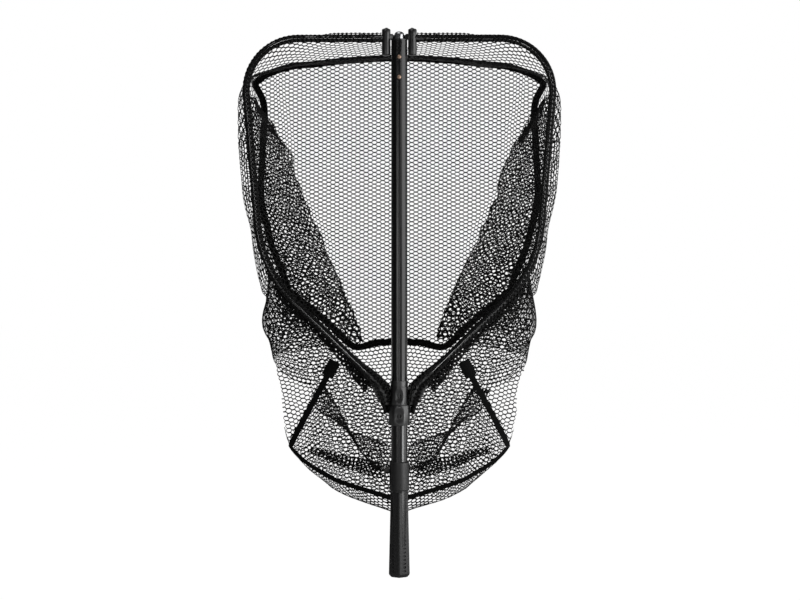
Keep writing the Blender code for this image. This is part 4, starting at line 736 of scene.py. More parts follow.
    def build(self) -> bpy.types.NodeTree:
        """Make the tree.

        Returns:
            The node group, its sizes as named inputs.
        """
        tree = self.tree = bpy.data.node_groups.new("netting", "GeometryNodeTree")
        tree.interface.new_socket("Geometry", in_out="INPUT", socket_type="NodeSocketGeometry")
        for name, kind in self.INPUTS:
            tree.interface.new_socket(name, in_out="INPUT", socket_type=kind)
        tree.interface.new_socket("Geometry", in_out="OUTPUT", socket_type="NodeSocketGeometry")
        given = add_node(tree, "NodeGroupInput")
        cells = self.lattice(given)
        middle = self.sampled(given)
        x = add_node(tree, "ShaderNodeSeparateXYZ", {0: middle}).outputs[0]
        beyond = self.math("MAXIMUM", self.math("LESS_THAN", x, given.outputs["From x"]),
                           self.math("GREATER_THAN", x, given.outputs["To x"]))
        missed = self.math("SUBTRACT", 1.0, middle.outputs["Is Valid"])
        wanted = add_node(tree, "GeometryNodeDeleteGeometry",
                          {0: cells, 1: self.math("MAXIMUM", beyond, missed)}, domain="FACE")
        flat = self.holes(wanted.outputs[0], given)
        spot = self.sampled(given)
        missing = self.math("SUBTRACT", 1.0, spot.outputs["Is Valid"])
        off = add_node(tree, "GeometryNodeStoreNamedAttribute",
                       {"Geometry": flat, "Name": "off", "Value": missing}, data_type="FLOAT", domain="POINT")
        draped = add_node(tree, "GeometryNodeSetPosition", {"Geometry": off, "Position": spot.outputs[0]})
        outside = add_node(tree, "GeometryNodeInputNamedAttribute", {"Name": "off"},
                           data_type="FLOAT").outputs[0]
        kept = add_node(tree, "GeometryNodeDeleteGeometry",
                        {0: draped, 1: self.math("GREATER_THAN", outside, 0.001)}, domain="FACE")
        soft = add_node(tree, "GeometryNodeSetShadeSmooth", {0: self.strands(kept, given)})
        real = add_node(tree, "GeometryNodeRealizeInstances", {0: soft})
        done = add_node(tree, "GeometryNodeSetMaterial", {0: real, "Material": given.outputs["Finish"]})
        add_node(tree, "NodeGroupOutput", {0: done})
        return tree

    def grow(self, name: str, base: bpy.types.Object, rests_on: Sequence[str], held: str = "hung",
             limits: tuple[float, float] = (-10.0, 10.0), phase: tuple[float, float] = (0.0, 0.0),
             gauge: NetGauge = NetGauge()) -> bpy.types.Object:
        """Args:
            name: The new piece's name.
            base: The sheet, with its flat map.
            rests_on: What the cloth hangs from or lies on. Not used.
            held: How it is held. Not used.
            limits: The range of x that the middles of its cells lie in, in metres.
            phase: How far the cells are shifted along the map, in millimetres.
            gauge: The netting's sizes.

        Returns:
            The netting as plain mesh.
        """
        if self.tree is None:
            self.build()
        turn = math.radians(gauge.turn_deg)
        low, high, area = flat_extent(base, limits, turn)
        column, pitch = mm(gauge.column_mm), mm(gauge.pitch_mm)
        first = [math.floor(low[0] / column / 2) * 2 * column - column * 2 + mm(phase[0]),
                 math.floor(low[1] / pitch) * pitch - pitch * 2 + mm(phase[1])]
        values = {"Columns": int((high[0] - first[0]) / column) + 4,
                  "Rows": int((high[1] - first[1]) / pitch) + 4,
                  "Column": column, "Pitch": pitch, "Start": (first[0], first[1], 0.0),
                  "Hole width share": gauge.hole_wide, "Hole height share": gauge.hole_tall,
                  "Thickness": mm(gauge.thickness_mm), "Turn": turn, "Wander": mm(gauge.wander_mm),
                  "From x": limits[0], "To x": limits[1], "Finish": self.finish}
        piece = grown(name, base, self.tree, values, self.finish)
        return piece


def flat_extent(base: bpy.types.Object, limits: tuple[float, float],
                turn: float) -> tuple[list[float], list[float], float]:
    """Measure a sheet's flat map within a range of x.

    Args:
        base: The sheet.
        limits: The lowest and highest x, in metres.
        turn: How far the netting's columns are turned on the map, in radians.

    Returns:
        The map's lowest and highest places, and its area.
    """
    places = base.data.uv_layers["cut"].data
    low, high, area = [math.inf, math.inf], [-math.inf, -math.inf], 0.0
    for face in base.data.polygons:
        if not limits[0] <= face.center.x <= limits[1]:
            continue
        corners = [places[index].uv for index in face.loop_indices]
        for corner in corners:
            across = corner[0] * math.cos(turn) + corner[1] * math.sin(turn)
            along = corner[1] * math.cos(turn) - corner[0] * math.sin(turn)
            low = [min(low[0], across), min(low[1], along)]
            high = [max(high[0], across), max(high[1], along)]
        area += abs(sum(a[0] * b[1] - b[0] * a[1] for a, b in zip(corners, corners[1:] + corners[:1]))) / 2
    return low, high, area


def grown(name: str, base: bpy.types.Object, tree: bpy.types.NodeTree, values: dict[str, Any],
          material: bpy.types.Material) -> bpy.types.Object:
    """Run a node tree on an object and keep the result as a plain mesh.

    Args:
        name: The new piece's name.
        base: The object that the tree starts from. It stays.
        tree: The node group.
        values: Its inputs, by name.
        material: The finish of the result.

    Returns:
        The new object.
    """
    modifier = base.modifiers.new("grow", "NODES")
    modifier.node_group = tree
    for item in tree.interface.items_tree:
        if item.item_type == "SOCKET" and item.in_out == "INPUT" and item.name in values:
            modifier[item.identifier] = values[item.name]
    base.update_tag()
    bpy.context.view_layer.update()
    shown = base.evaluated_get(bpy.context.evaluated_depsgraph_get())
    mesh = bpy.data.meshes.new_from_object(shown)
    base.modifiers.remove(modifier)
    for attribute in list(mesh.attributes):
        if attribute.name in ("hole", "off", "rim"):
            mesh.attributes.remove(attribute)
    return mesh_object(name, mesh, material)


def discard(*things: bpy.types.Object) -> None:
    """Remove helper objects and their meshes."""
    for thing in things:
        mesh = thing.data
        bpy.data.objects.remove(thing)
        bpy.data.meshes.remove(mesh)


# The hoop's line and the bag's skin

@dataclass(frozen=True)
class HoopLine:
    """Centre line of the right half of the hoop, in millimetres, as (x, z)."""

    hinge_x: float = 25.0
    top_z: float = 1050.1
    shoulder: float = 307.9
    waist: float = 269.7
    waist_z: float = 599.6
    corner: float = 102.0
    bend: float = 240.0
    hinge_z: float = 361.5
    first_x: float = 27.0
    middle_rise: float = 6.0
    side_stations: tuple[float, ...] = (0.0, 0.35, 0.75, 1.0)
    arm_stations: tuple[float, ...] = (0.0, 0.39, 0.52, 0.80)

    def guides(self) -> tuple[Vector, Vector, Vector, Vector]:
        """The corners of the line before they are rounded."""
        return (Vector((self.hinge_x, self.top_z)), Vector((self.shoulder, self.top_z)),
                Vector((self.waist, self.waist_z)), Vector((self.hinge_x, self.hinge_z)))

    @staticmethod
    def arc(before: Vector, corner: Vector, after: Vector, radius: float, share: float) -> Vector:
        """A point on the arc that rounds a corner, at a share of its sweep."""
        to_before, to_after = (before - corner).normalized(), (after - corner).normalized()
        half = to_before.angle(to_after) / 2
        centre = corner + (to_before + to_after).normalized() * (radius / math.sin(half))
        start = corner + to_before * (radius / math.tan(half)) - centre
        turn = 1 if start.x * to_before.y - start.y * to_before.x < 0 else -1
        angle = turn * (math.pi - 2 * half) * share
        return centre + Vector((start.x * math.cos(angle) - start.y * math.sin(angle),
                                start.x * math.sin(angle) + start.y * math.cos(angle)))

    def station(self, place: float) -> Vector:
        """A point on the line at a station.

        Args:
            place: From 0 at the slit over 2 and 4, the ends of the corner, 7 and 9, the ends of the bend,
                to 12 near the yoke and 13 in the middle behind it.

        Returns:
            The point, in millimetres.
        """
        top, shoulder, waist, hinge = self.guides()
        if place <= 2:
            corner = self.arc(top, shoulder, waist, self.corner, 0)
            return Vector((self.first_x, self.top_z)).lerp(corner, place / 2)
        if place <= 4:
            return self.arc(top, shoulder, waist, self.corner, (place - 2) / 2)
        if place <= 7:
            share = self.read(self.side_stations, place - 4)
            return self.arc(top, shoulder, waist, self.corner, 1).lerp(
                self.arc(shoulder, waist, hinge, self.bend, 0), share)
        if place <= 9:
            return self.arc(shoulder, waist, hinge, self.bend, (place - 7) / 2)
        end = self.arc(shoulder, waist, hinge, self.bend, 1)
        if place <= 12:
            return end.lerp(hinge, self.read(self.arm_stations, place - 9))
        middle = Vector((0.0, self.hinge_z + self.middle_rise))
        return end.lerp(hinge, self.arm_stations[-1]).lerp(middle, place - 12)

    @staticmethod
    def read(values: Sequence[float], place: float) -> float:
        """A straight reading between listed values."""
        index = min(int(place), len(values) - 2)
        return mix(values[index], values[index + 1], place - index)

    def path(self, side: Side, top_start: float, arm_end: float) -> list[Vector]:
        """The line as points in space, from a distance off the top hinge to one off the arm's hinge."""
        top, shoulder, waist, hinge = self.guides()
        points = [top + Vector((top_start, 0))]
        first = self.arc(top, shoulder, waist, self.corner, 0)
        points += [points[0].lerp(first, share) for share in spread(0, 1, 12)[1:]]
        points += [self.arc(top, shoulder, waist, self.corner, share) for share in spread(0, 1, 20)[1:]]
        last = points[-1]
        bend = self.arc(shoulder, waist, hinge, self.bend, 0)
        points += [last.lerp(bend, share) for share in spread(0, 1, 12)[1:]]
        points += [self.arc(shoulder, waist, hinge, self.bend, share) for share in spread(0, 1, 12)[1:]]
        last = points[-1]
        end = hinge + (waist - hinge).normalized() * arm_end
        points += [last.lerp(end, share) for share in spread(0, 1, 12)[1:]]
        return [at(side.value * point.x, 0, point.y) for point in points]


@dataclass(frozen=True)
class BagSkin:
    """The bag's skin: four lines round it, from the mouth to the rear panel, offset from the hoop."""

    line: HoopLine = field(default_factory=HoopLine)
    depths: tuple[float, ...] = (100.0, 180.0, 300.0)
    front_depths: tuple[float, ...] = (55, 55, 62, 82, 100, 100, 100, 100, 100, 100, 100, 100, 100, 100)
    mouth_depth: float = 8.3
    fall_mm: float = 50.0
    straight_mm: float = 6.0
    full_mm: float = 12.0
    viewer_mm: float = 3466.7
    eye_z_mm: float = 540.0
    front: tuple[tuple[float, float], ...] = (
        (-8, -27), (0, -33), (5, -27), (10, -8), (22, -2), (30, 0), (30, -9), (16, -30), (22, -44), (58, -64),
        (104, -114), (105, -198), (69, -215), (0, -228))
    low: tuple[tuple[float, float], ...] = (
        (-15, -16), (0, -23), (4, -22), (13, -13), (21, -9), (27, -6), (27, -13), (6, -38), (24, -70),
        (38, -84), (36, -102), (56, -150), (56, -204), (0, -232))
    back: tuple[tuple[float, float], ...] = (
        (-23.5, 9), (0, 2.6), (8, -7), (31, -8), (-5, 20), (4, 7), (15, 0), (3, -15), (-7, -20), (28, 16),
        (20, 19), (-17, -10), (-29, 47), (0, 84))

    def mouth_y(self, place: float) -> float:
        """How far behind the hoop's plane the skin starts at a station."""
        depth = self.mouth_depth + (1.2 if place > 9 else 0.0)
        depth += 3.0 * smooth_step(1.0, 0.0, place) + 4.0 * smooth_step(11.0, 12.0, place)
        return mix(depth, 26.8, smooth_step(12.0, LAST_STATION, place))

    def ring(self, number: int, place: float) -> Vector:
        """A point on one of the four lines, right half, in millimetres."""
        base = self.line.station(place)
        if number == 0:
            return Vector((base.x, self.mouth_y(place), base.y))
        offsets = (self.front, self.low, self.back)[number - 1]
        out = through([Vector(pair) for pair in offsets], place)
        depth = through(self.front_depths, place) if number == 1 else self.depths[number - 1]
        if number == 3 and 11.0 < place < 12.0:
            out.y += self.straight_mm * math.sin(math.pi * (place - 11.0))
        if number in (1, 2) and 8.0 < place < 9.0:
            out.x += self.full_mm * math.sin(math.pi * (place - 8.0))
        return Vector((base.x + out.x, depth, base.y + out.y))

    def point(self, side: Side, place: float, depth: float) -> Vector:
        """A point on the skin, in metres.

        Args:
            side: Which half.
            place: The station, from 0 to 13.
            depth: From 0 at the mouth to 3 at the rear panel.

        Returns:
            The point.
        """
        rings = [self.ring(number, place) for number in range(4)]
        found = through(rings, depth)
        share = smooth_step(8.9, 7.8, place)
        if share > 0.0:
            found = found.lerp(self.run(rings, found.y, smooth_step(2.4, 4.2, place)), share)
        return at(side.value * found.x, found.y, found.z)

    def straight_back(self, anchor: Vector, y: float) -> Vector:
        """Where the line of sight through an anchor has reached at a distance behind the hoop's plane."""
        share = (self.viewer_mm + y) / (self.viewer_mm + anchor.y)
        return Vector((anchor.x * share, y, self.eye_z_mm + (anchor.z - self.eye_z_mm) * share))

    def run(self, rings: Sequence[Vector], y: float, flank: float) -> Vector:
        """How the netting hangs: it leaves the hoop sideways, runs straight back, then meets the binding.

        Args:
            rings: The skin's places on its four lines at a station.
            y: The distance behind the hoop's plane.
            flank: From 0 along the top, where it falls behind the rear binding, to 1 along the sides.

        Returns:
            The place at that distance.
        """
        start, rear = rings[0], rings[3]
        fallen = self.straight_back(rear - Vector((0, 0, 6.0 * smooth_step(300.0, 280.0, y))), y)
        if y < self.fall_mm:
            fallen = start.lerp(fallen, (max(y - start.y, 0.0) / (self.fall_mm - start.y)) ** 0.8)
        bulge = start + (rings[1] - start) * 0.88
        if y < 35.0:
            beside = start.lerp(bulge, (max(y - start.y, 0.0) / (35.0 - start.y)) ** 0.6)
        else:
            beside = bulge.lerp(self.straight_back(start, y), smooth_step(35.0, 75.0, y))
            beside = beside.lerp(rear, min(max((y - 255.0) / (rear.y - 255.0), 0.0), 1.0))
        found = fallen.lerp(beside, flank)
        return Vector((found.x, y, found.z))

    def normal(self, side: Side, place: float, depth: float) -> Vector:
        """The direction out of the bag at a point on its skin."""
        step = 0.02
        low_p, high_p = max(place - step, 0), min(place + step, 13)
        low_d, high_d = max(depth - step, 0), min(depth + step, 3)
        along = self.point(side, high_p, depth) - self.point(side, low_p, depth)
        back = self.point(side, place, high_d) - self.point(side, place, low_d)
        return along.cross(back).normalized() * side.value


def slack(point: Vector, reach_mm: float, wave_mm: float, seed: float) -> Vector:
    """A small steady wander that gives hanging cloth its unevenness."""
    place = point * (1000.0 / wave_mm)
    return Vector((noise.noise(place + Vector((seed, 0, 0))), noise.noise(place + Vector((0, seed, 7.3))),
                   noise.noise(place + Vector((3.1, 0, seed))))) * mm(reach_mm)


# Sub-assemblies

@dataclass
class Handle:
    """The handle: one tube with its nose, grip, collar and belt clip."""

    finishes: Finishes

    def dress(self) -> list[bpy.types.Object]:
        """Dress the handle's CAD nodes.

        Returns:
            The new pieces.
        """
        pieces = []
        for node, finish, edge, sharp in (
                ("handle_tube", ANODISED_TUBE, 0.0, 40.0), ("tube_cap", MOULDED_NYLON, 0.0, 40.0),
                ("nose_plug", TURNED_ALUMINIUM, 0.0, 40.0), ("grip", GRIP_RUBBER, 0.0, 28.0),
                ("collar", GRIP_RUBBER, 0.0, 40.0), ("belt_clip", BLACKENED_STEEL, 0.35, 30.0),
                ("clip_screw", BLACKENED_STEEL, 0.0, 40.0), ("tube_plug", MOULDED_NYLON, 0.0, 40.0),
                ("button_spring", PLATED_STEEL, 0.0, 40.0)):
            piece = dressed_copy(node, self.finishes.of(finish), edge, sharp)
            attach(piece, "handle")
            pieces.append(piece)
        return pieces


@dataclass
class SnapButtons:
    """The two sprung buttons that lock the head on the tube."""

    finishes: Finishes

    def dress(self) -> list[bpy.types.Object]:
        """Dress both buttons.

        Returns:
            The new pieces.
        """
        pieces = []
        for node, body in (("upper_button", "upper_snap"), ("lower_button", "lower_snap")):
            piece = dressed_copy(node, self.finishes.of(TUMBLED_BRASS), 0.0, 45.0)
            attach(piece, body)
            pieces.append(piece)
        return pieces


@dataclass
class Head:
    """The moulded head: yoke, ring, bridge, pins and screws."""

    finishes: Finishes

    def dress(self) -> list[bpy.types.Object]:
        """Dress the head's rigid CAD nodes.

        Returns:
            The new pieces.
        """
        pieces = []
        nodes = [("yoke_upper", MOULDED_NYLON, 0.4, 34.0), ("yoke_lower", MOULDED_NYLON, 0.0, 34.0),
                 ("yoke_ring", MOULDED_NYLON, 0.0, 40.0), ("top_bridge", MOULDED_NYLON, 0.5, 34.0)]
        for side in Side:
            nodes += [("yoke_screw_" + side.word, BLACKENED_STEEL, 0.0, 40.0),
                      ("yoke_pin_" + side.word, PLATED_STEEL, 0.0, 40.0),
                      ("bridge_pin_" + side.word, PLATED_STEEL, 0.0, 40.0)]
        for node, finish, edge, sharp in nodes:
            piece = dressed_copy(node, self.finishes.of(finish), edge, sharp)
            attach(piece, "head")
            pieces.append(piece)
        return pieces


@dataclass
class HalfHoop:
    """One half of the hoop: tube, knuckle, far fitting, rivets and the netting sewn round the tube."""

    side: Side
    finishes: Finishes
    netting: NettingTree
    line: HoopLine = field(default_factory=HoopLine)
    tube_radius_mm: float = 5.75
    hem_radius_mm: float = 6.35
    hem_outer_mm: float = 7.2
    hem_from_mm: float = 3.0
    arm_opening_deg: float = 14.0
    barrel_x_mm: float = 25.6
    barrel_foot_mm: float = 1016.0
    barrel_head_mm: float = 1069.4
    barrel_radius_mm: float = 8.5

    def dress(self) -> list[bpy.types.Object]:
        """Dress this half.

        Returns:
            The new pieces.
        """
        word = self.side.word
        pieces = [dressed_copy(node + word, self.finishes.of(finish), edge, 34.0)
                  for node, finish, edge in (("arm_knuckle_", MOULDED_NYLON, 0.6),
                                             ("arm_rivet_", BLACKENED_STEEL, 0.0),
                                             ("top_rivet_", BLACKENED_STEEL, 0.0))]
        tube = solid_tube("bent_tube_" + word, self.line.path(self.side, 15.0, 22.0),
                          lambda _: mm(self.tube_radius_mm), 24,
                          self.finishes.of(ANODISED_HOOP))
        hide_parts("hoop_" + word)
        pieces += [tube, self.far_hinge(), *self.hem(), *self.gathers(), *self.bunches(),
                   self.raised_edge()]
        for piece in pieces:
            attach(piece, self.side.frame_body)
        return pieces

    def bunches(self) -> list[bpy.types.Object]:
        """The netting bunched round the arm's knuckle, where the hem meets the yoke, in two layers."""
        arm = [point for point in self.line.path(self.side, self.hem_from_mm, 14.0) if point.z < mm(440)]
        hinge = arm[-1]
        path = arm + [hinge.lerp(at(self.side.value * 27, 0, 352), share) for share in (0.5, 1.0)]
        path += [at(self.side.value * x, 0, z) for x, z in ((25, 340), (24, 329), (23, 319))]
        total = sum((b - a).length for a, b in zip(path, path[1:]))
        pieces = []
        for number, (wide, gauge) in enumerate(((12.0, GATHERED_INNER), (14.5, GATHERED_OUTER))):
            def swell(length: float, top: float = wide, turn: float = number * 2.0) -> float:
                share = length / total
                taper = mix(1.0, 0.45, smooth_step(0.75, 1.0, share))
                wide = mix(self.hem_outer_mm, top, smooth_step(0.0, 0.6, share)) * taper
                return mm(wide + math.sin(share * 17 + turn) * 0.8)

            base = surface("bunch_base", tube_rows(path, swell, 22), wrap=True)
            pieces.append(self.netting.grow(f"bunched_netting_{number + 1}_{self.side.word}", base,
                                            ["hoop_" + self.side.word], "gathered",
                                            phase=(number * 2.7, 0.4), gauge=gauge))
            discard(base)
        return pieces

    def far_hinge(self) -> bpy.types.Object:
        """The moulded barrel at the hoop's far end, with the sleeve that the tube's end goes into."""
        word = self.side.word
        tall = mm(self.barrel_head_mm - self.barrel_foot_mm)
        x = self.side.value * self.barrel_x_mm

        def rounded(length: float) -> float:
            ease = min(min(length, tall - length) / mm(2.6), 1.0)
            return mm(self.barrel_radius_mm) * math.sqrt(max(ease * (2.0 - ease), 0.16))

        shares = (0.0, 0.004, 0.012, 0.025, 0.05, 0.2, 0.35, 0.5, 0.65, 0.8, 0.95, 0.975, 0.988, 0.996, 1.0)
        path = [at(x, 0, mix(self.barrel_foot_mm, self.barrel_head_mm, share)) for share in shares]
        barrel = solid_tube("far_hinge_" + word, path, rounded, 28, self.finishes.of(MOULDED_NYLON))
        run = [point for point in self.line.path(self.side, 1.0, 40.0)
               if abs(point.x) < mm(57) and point.z > mm(900)]
        sleeve = solid_tube("sleeve_" + word, run, lambda _: mm(self.hem_radius_mm - 0.1), 24,
                            self.finishes.of(MOULDED_NYLON))
        shape = bmesh.new()
        shape.from_mesh(barrel.data)
        shape.from_mesh(sleeve.data)
        shape.to_mesh(barrel.data)
        shape.free()
        discard(sleeve)
        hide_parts("top_fitting_" + word)
        return barrel

    def raised_edge(self) -> bpy.types.Object:
        """The netting that stands up in a narrow roll behind the hoop's top run."""
        run = [point for point in self.line.path(self.side, 9.0, 40.0)
               if abs(point.x) < mm(185) and point.z > mm(900)]
        rows = []
        for point in run:
            high = mix(0.35, 1.0, smooth_step(mm(183), mm(120), abs(point.x)))
            roll = [(7.6, 1.0), (8.4, 6.0), (9.6, 11.5 * high), (12.5, 13.4 * high), (16.0, 11.0 * high),
                    (17.5, 5.0)]
            rows.append([point + at(0, y, z) for y, z in roll])
        base = surface("raised_base", rows)
        piece = self.netting.grow("raised_netting_" + self.side.word, base, ["hoop_" + self.side.word],
                                  "gathered", phase=(2.0, 1.2), gauge=RAISED)
        discard(base)
        return piece

    def hem(self) -> list[bpy.types.Object]:
        """The netting gathered round the tube: two layers, left open along the front of the arm."""
        word = self.side.word
        pieces = []
        path = self.line.path(self.side, self.hem_from_mm, 40.0)
        arm_first = len(path) - 13
        for name, radius, phase, gauge in (("hem_inner_", self.hem_radius_mm, (0.0, 0.0), GATHERED_INNER),
                                           ("hem_outer_", self.hem_outer_mm, (3.1, 2.2), GATHERED_OUTER)):
            rows = tube_rows(path[:arm_first + 1], lambda _, r=radius: mm(r), 20)
            base = surface(name + "base", rows, wrap=True)
            pieces.append(self.netting.grow(name + word, base, ["hoop_" + word], "gathered",
                                            phase=phase, gauge=gauge))
            discard(base)
            gap = math.radians(self.arm_opening_deg)
            rows = tube_rows(path[arm_first:], lambda _, r=radius: mm(r), 18, gap, 2 * math.pi - gap, False)
            base = surface(name + "arm_base", rows)
            pieces.append(self.netting.grow(name + "arm_" + word, base, ["hoop_" + word],
                                            "gathered", phase=phase, gauge=gauge))
            discard(base)
        for piece in pieces:
            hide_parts("hem_" + word)
        return pieces

    def gathers(self) -> list[bpy.types.Object]:
        """The netting bunched along the underside of the arm, wider towards the yoke, in two layers."""
        word = self.side.word
        path = [point for point in self.line.path(self.side, self.hem_from_mm, 27.0) if point.z < mm(605)]
        pieces = []
        for number, (deep, shift) in enumerate(((11.5, 0.0), (16.5, 2.0))):
            rows = []
            for index, point in enumerate(path):
                share = index / (len(path) - 1)
                before, after = path[max(index - 1, 0)], path[min(index + 1, len(path) - 1)]
                below = (after - before).normalized().cross(Vector((0, 1, 0))) * self.side.value
                wide = mix(17.0, 30.0, smooth_step(0.6, 1.0, share)) * smooth_step(-0.1, 0.25, share)
                row = []
                for step in spread(0.0, 1.0, 14):
                    ripple = math.sin(step * wide * 0.9 + share * 9 + shift) * 2.2
                    row.append(point + below * mm(2.0 + wide * step) + Vector((0, mm(deep + ripple), 0)))
                rows.append(row)
            base = surface("gathers_base", rows)
            pieces.append(self.netting.grow(f"gathered_netting_{number + 1}_{word}", base,
                                            ["hoop_" + word], "gathered",
                                            phase=(number * 3.0, 1.0), gauge=GATHERED_ARM))
            discard(base)
        return pieces


@dataclass
class Bag:
    """The mesh bag: netting panels, gathered folds, bindings and patches."""

    finishes: Finishes
    netting: NettingTree
    skin: BagSkin = field(default_factory=BagSkin)
    tape_width_mm: float = 11.8
    tape_thickness_mm: float = 1.5
    middle_mm: float = MIDDLE_HALF_MM
    keep: float = 0.08
    fold_tips: tuple[tuple[float, float], ...] = (
        (275, 925), (250, 885), (229, 848), (213, 800), (198, 750), (178, 703), (159, 661), (141, 622),
        (130, 593), (120, 566), (108, 536), (94.5, 505), (80, 454))
    drape_edge: tuple[tuple[float, float], ...] = (
        (157, 373), (120.5, 312), (96, 263), (74, 225), (47.3, 198), (14.8, 192))
    pleat_places: tuple[tuple[float, float], ...] = (
        (11.35, 0.84), (11.83, 0.78), (12.23, 0.75), (12.72, 0.735))

    def settle(self, piece: bpy.types.Object, zone: Zone, *nodes: str) -> bpy.types.Object:
        """Hang a piece on the head, hide the nodes that it stands for, and give a piece outside the middle its own
        mesh.
        """
        if nodes:
            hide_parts(*nodes)
        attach(piece, "head")
        if zone is not Zone.MIDDLE:
            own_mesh(piece)
        return piece

    def limits(self, zone: Zone) -> tuple[float, float]:
        """The range of x that a zone covers."""
        half = mm(self.middle_mm)
        return {Zone.LEFT: (-10.0, -half), Zone.MIDDLE: (-half, half), Zone.RIGHT: (half, 10.0)}[zone]

    def loft(self, side: Side, places: tuple[float, float], depths: tuple[float, float],
             steps: tuple[int, int], seed: float) -> bpy.types.Object:
        """A sheet over part of the skin.

        Args:
            side: Which half.
            places: First and last station.
            depths: First and last depth.
            steps: Faces along the stations and along the depth.
            seed: Where the slack's wander starts.

        Returns:
            The sheet, with its flat map.
        """
        rows = []
        for depth in spread(*depths, steps[1]):
            loose = math.sin(math.pi * min(max(depth / REAR_DEPTH, 0.0), 1.0))
            row = []
            for place in spread(*places, steps[0]):
                point = self.skin.point(side, place, depth)
                row.append(point + slack(point, 5.0 * loose, 70.0, seed))
            rows.append(row)
        if places[0] == 0.0:
            for row, depth in zip(rows, spread(*depths, steps[1])):
                row.insert(0, row[0] - at(side.value * 9.0 * smooth_step(0.1, 0.8, depth), 0, 0))
        if places[1] == LAST_STATION:
            for row in rows:
                row.append(Vector((-side.value * mm(8.0), row[-1].y + side.value * mm(0.8), row[-1].z)))
        reaches_rear = depths[1] >= REAR_DEPTH
        if reaches_rear:
            rows.append([point + (at(0, 303, 760) - point).normalized() * mm(6.0) for point in rows[-1]])
        if places[0] == 0.0:
            return surface("skin_base", rows, from_middle(rows, side))
        if places[1] < 10.0:
            return surface("skin_base", rows)
        turns_at = len(rows) // 2 if reaches_rear else 0
        return surface("skin_base", rows, seen_from_front(rows, side, turns_at))

    def panels(self) -> list[bpy.types.Object]:
        """The outer netting of both halves."""
        pieces = []
        plan = (("top_netting", (0.0, 5.07), (0.0, REAR_DEPTH), (60, 60), "net_top_", (0.0, 0.0)),
                ("side_netting", (4.97, 9.07), (0.0, REAR_DEPTH), (44, 60), "net_side_", (0.0, 0.0)),
                ("apron_netting", (8.96, LAST_STATION), (0.0, 1.0), (48, 20), "net_apron_", (0.0, 0.0)),
                ("pouch_netting", (8.96, LAST_STATION), (1.0, REAR_DEPTH), (48, 32), "net_pouch_",
                 (0.0, 0.0)))
        gauges = {"top_netting": FALLING, "side_netting": DRAWN,
                  "apron_netting": FRONT, "pouch_netting": LOWER}
        for side in Side:
            for name, places, depths, steps, node, phase in plan:
                base = self.loft(side, places, depths, steps, 11.0 + side.value)
                zones = (Zone(side.value),) if name in ("top_netting", "side_netting") else (
                    Zone(side.value), Zone.MIDDLE)
                for zone in zones:
                    limits = self.limits(zone) if len(zones) > 1 else (-10.0, 10.0)
                    tag = "_middle_" if zone is Zone.MIDDLE else "_"
                    piece = self.netting.grow(name + tag + side.word, base, ["hoop_" + side.word], "hung",
                                              limits, phase, gauges[name])
                    pieces.append(self.settle(piece, zone, node + side.word))
                discard(base)
        return pieces

    def rear_outline(self, inset_mm: float, steps: int = 130) -> list[Vector]:
        """The rear panel's outline in (x, z), in metres: its right half, from the top's middle down."""
        raw = [self.skin.ring(3, place) for place in spread(0.0, LAST_STATION, steps)]
        points = [Vector((mm(p.x), mm(p.z))) for p in raw if p.x > 3.0]
        points = [Vector((0.0, points[0].y))] + points + [Vector((0.0, mm(raw[-1].z)))]
        inset = []
        for index, point in enumerate(points):
            before, after = points[max(index - 1, 0)], points[min(index + 1, len(points) - 1)]
            ahead = (after - before).normalized()
            if index in (0, len(points) - 1):
                ahead = Vector((1.0 if index == 0 else -1.0, 0.0))
            inset.append(point + Vector((ahead.y, -ahead.x)) * mm(inset_mm))
        return inset

    def rear_panel(self) -> list[bpy.types.Object]:
        """The rear panel's netting, with the soft waves it hangs in."""
        outline = self.rear_outline(3.0)
        polygon = outline + [Vector((-p.x, p.y)) for p in reversed(outline[1:-1])]
        rows, cuts = [], []
        xs = [mm(x) for x in spread(-310.0, 310.0, 124)]
        for z in [mm(v) for v in spread(430.0, 1050.0, 124)]:
            row = [Vector((x, mm(300.8) + self.rear_wave(x, z), z)) for x in xs]
            lengths = [0.0]
            for a, b in zip(row, row[1:]):
                lengths.append(lengths[-1] + (b - a).length)
            middle = lengths[len(xs) // 2]
            rows.append(row)
            cuts.append([(length - middle, z) for length in lengths])
        base = surface("rear_base", rows, cuts)
        drop_outside(base, lambda point: inside(polygon, point.x, point.z))
        pieces = []
        for zone in Zone:
            piece = self.netting.grow("rear_netting_" + zone.name.lower(), base, ["tape_rear"], "hung",
                                      self.limits(zone))
            pieces.append(self.settle(piece, zone, "net_back"))
        discard(base)
        return pieces

    @staticmethod
    def rear_wave(x: float, z: float) -> float:
        """How far the rear panel hangs off its plane, inwards, in metres."""
        wander = noise.noise(Vector((x * 9, 2.0, z * 7))) * mm(4.0)
        middle = mix(142.0, 229.0, smooth_step(mm(620), mm(830), z))
        middle = middle + 27.0 * smooth_step(mm(850), mm(1014), z)
        off = abs(x) - mm(middle)
        depth = mm(15.0) * smooth_step(mm(560), mm(680), z)
        return wander - depth * math.exp(-(off / mm(8.0)) ** 2)

    def tape(self, name: str, path: list[tuple[Vector, Vector]], width_mm: float, stand_mm: float) -> bpy.types.Object:
        """One length of binding tape, sewn to the netting that it rests on."""
        piece = ribbon(name, path, mm(width_mm), mm(self.tape_thickness_mm), mm(stand_mm),
                       self.finishes.of(BINDING))
        return piece

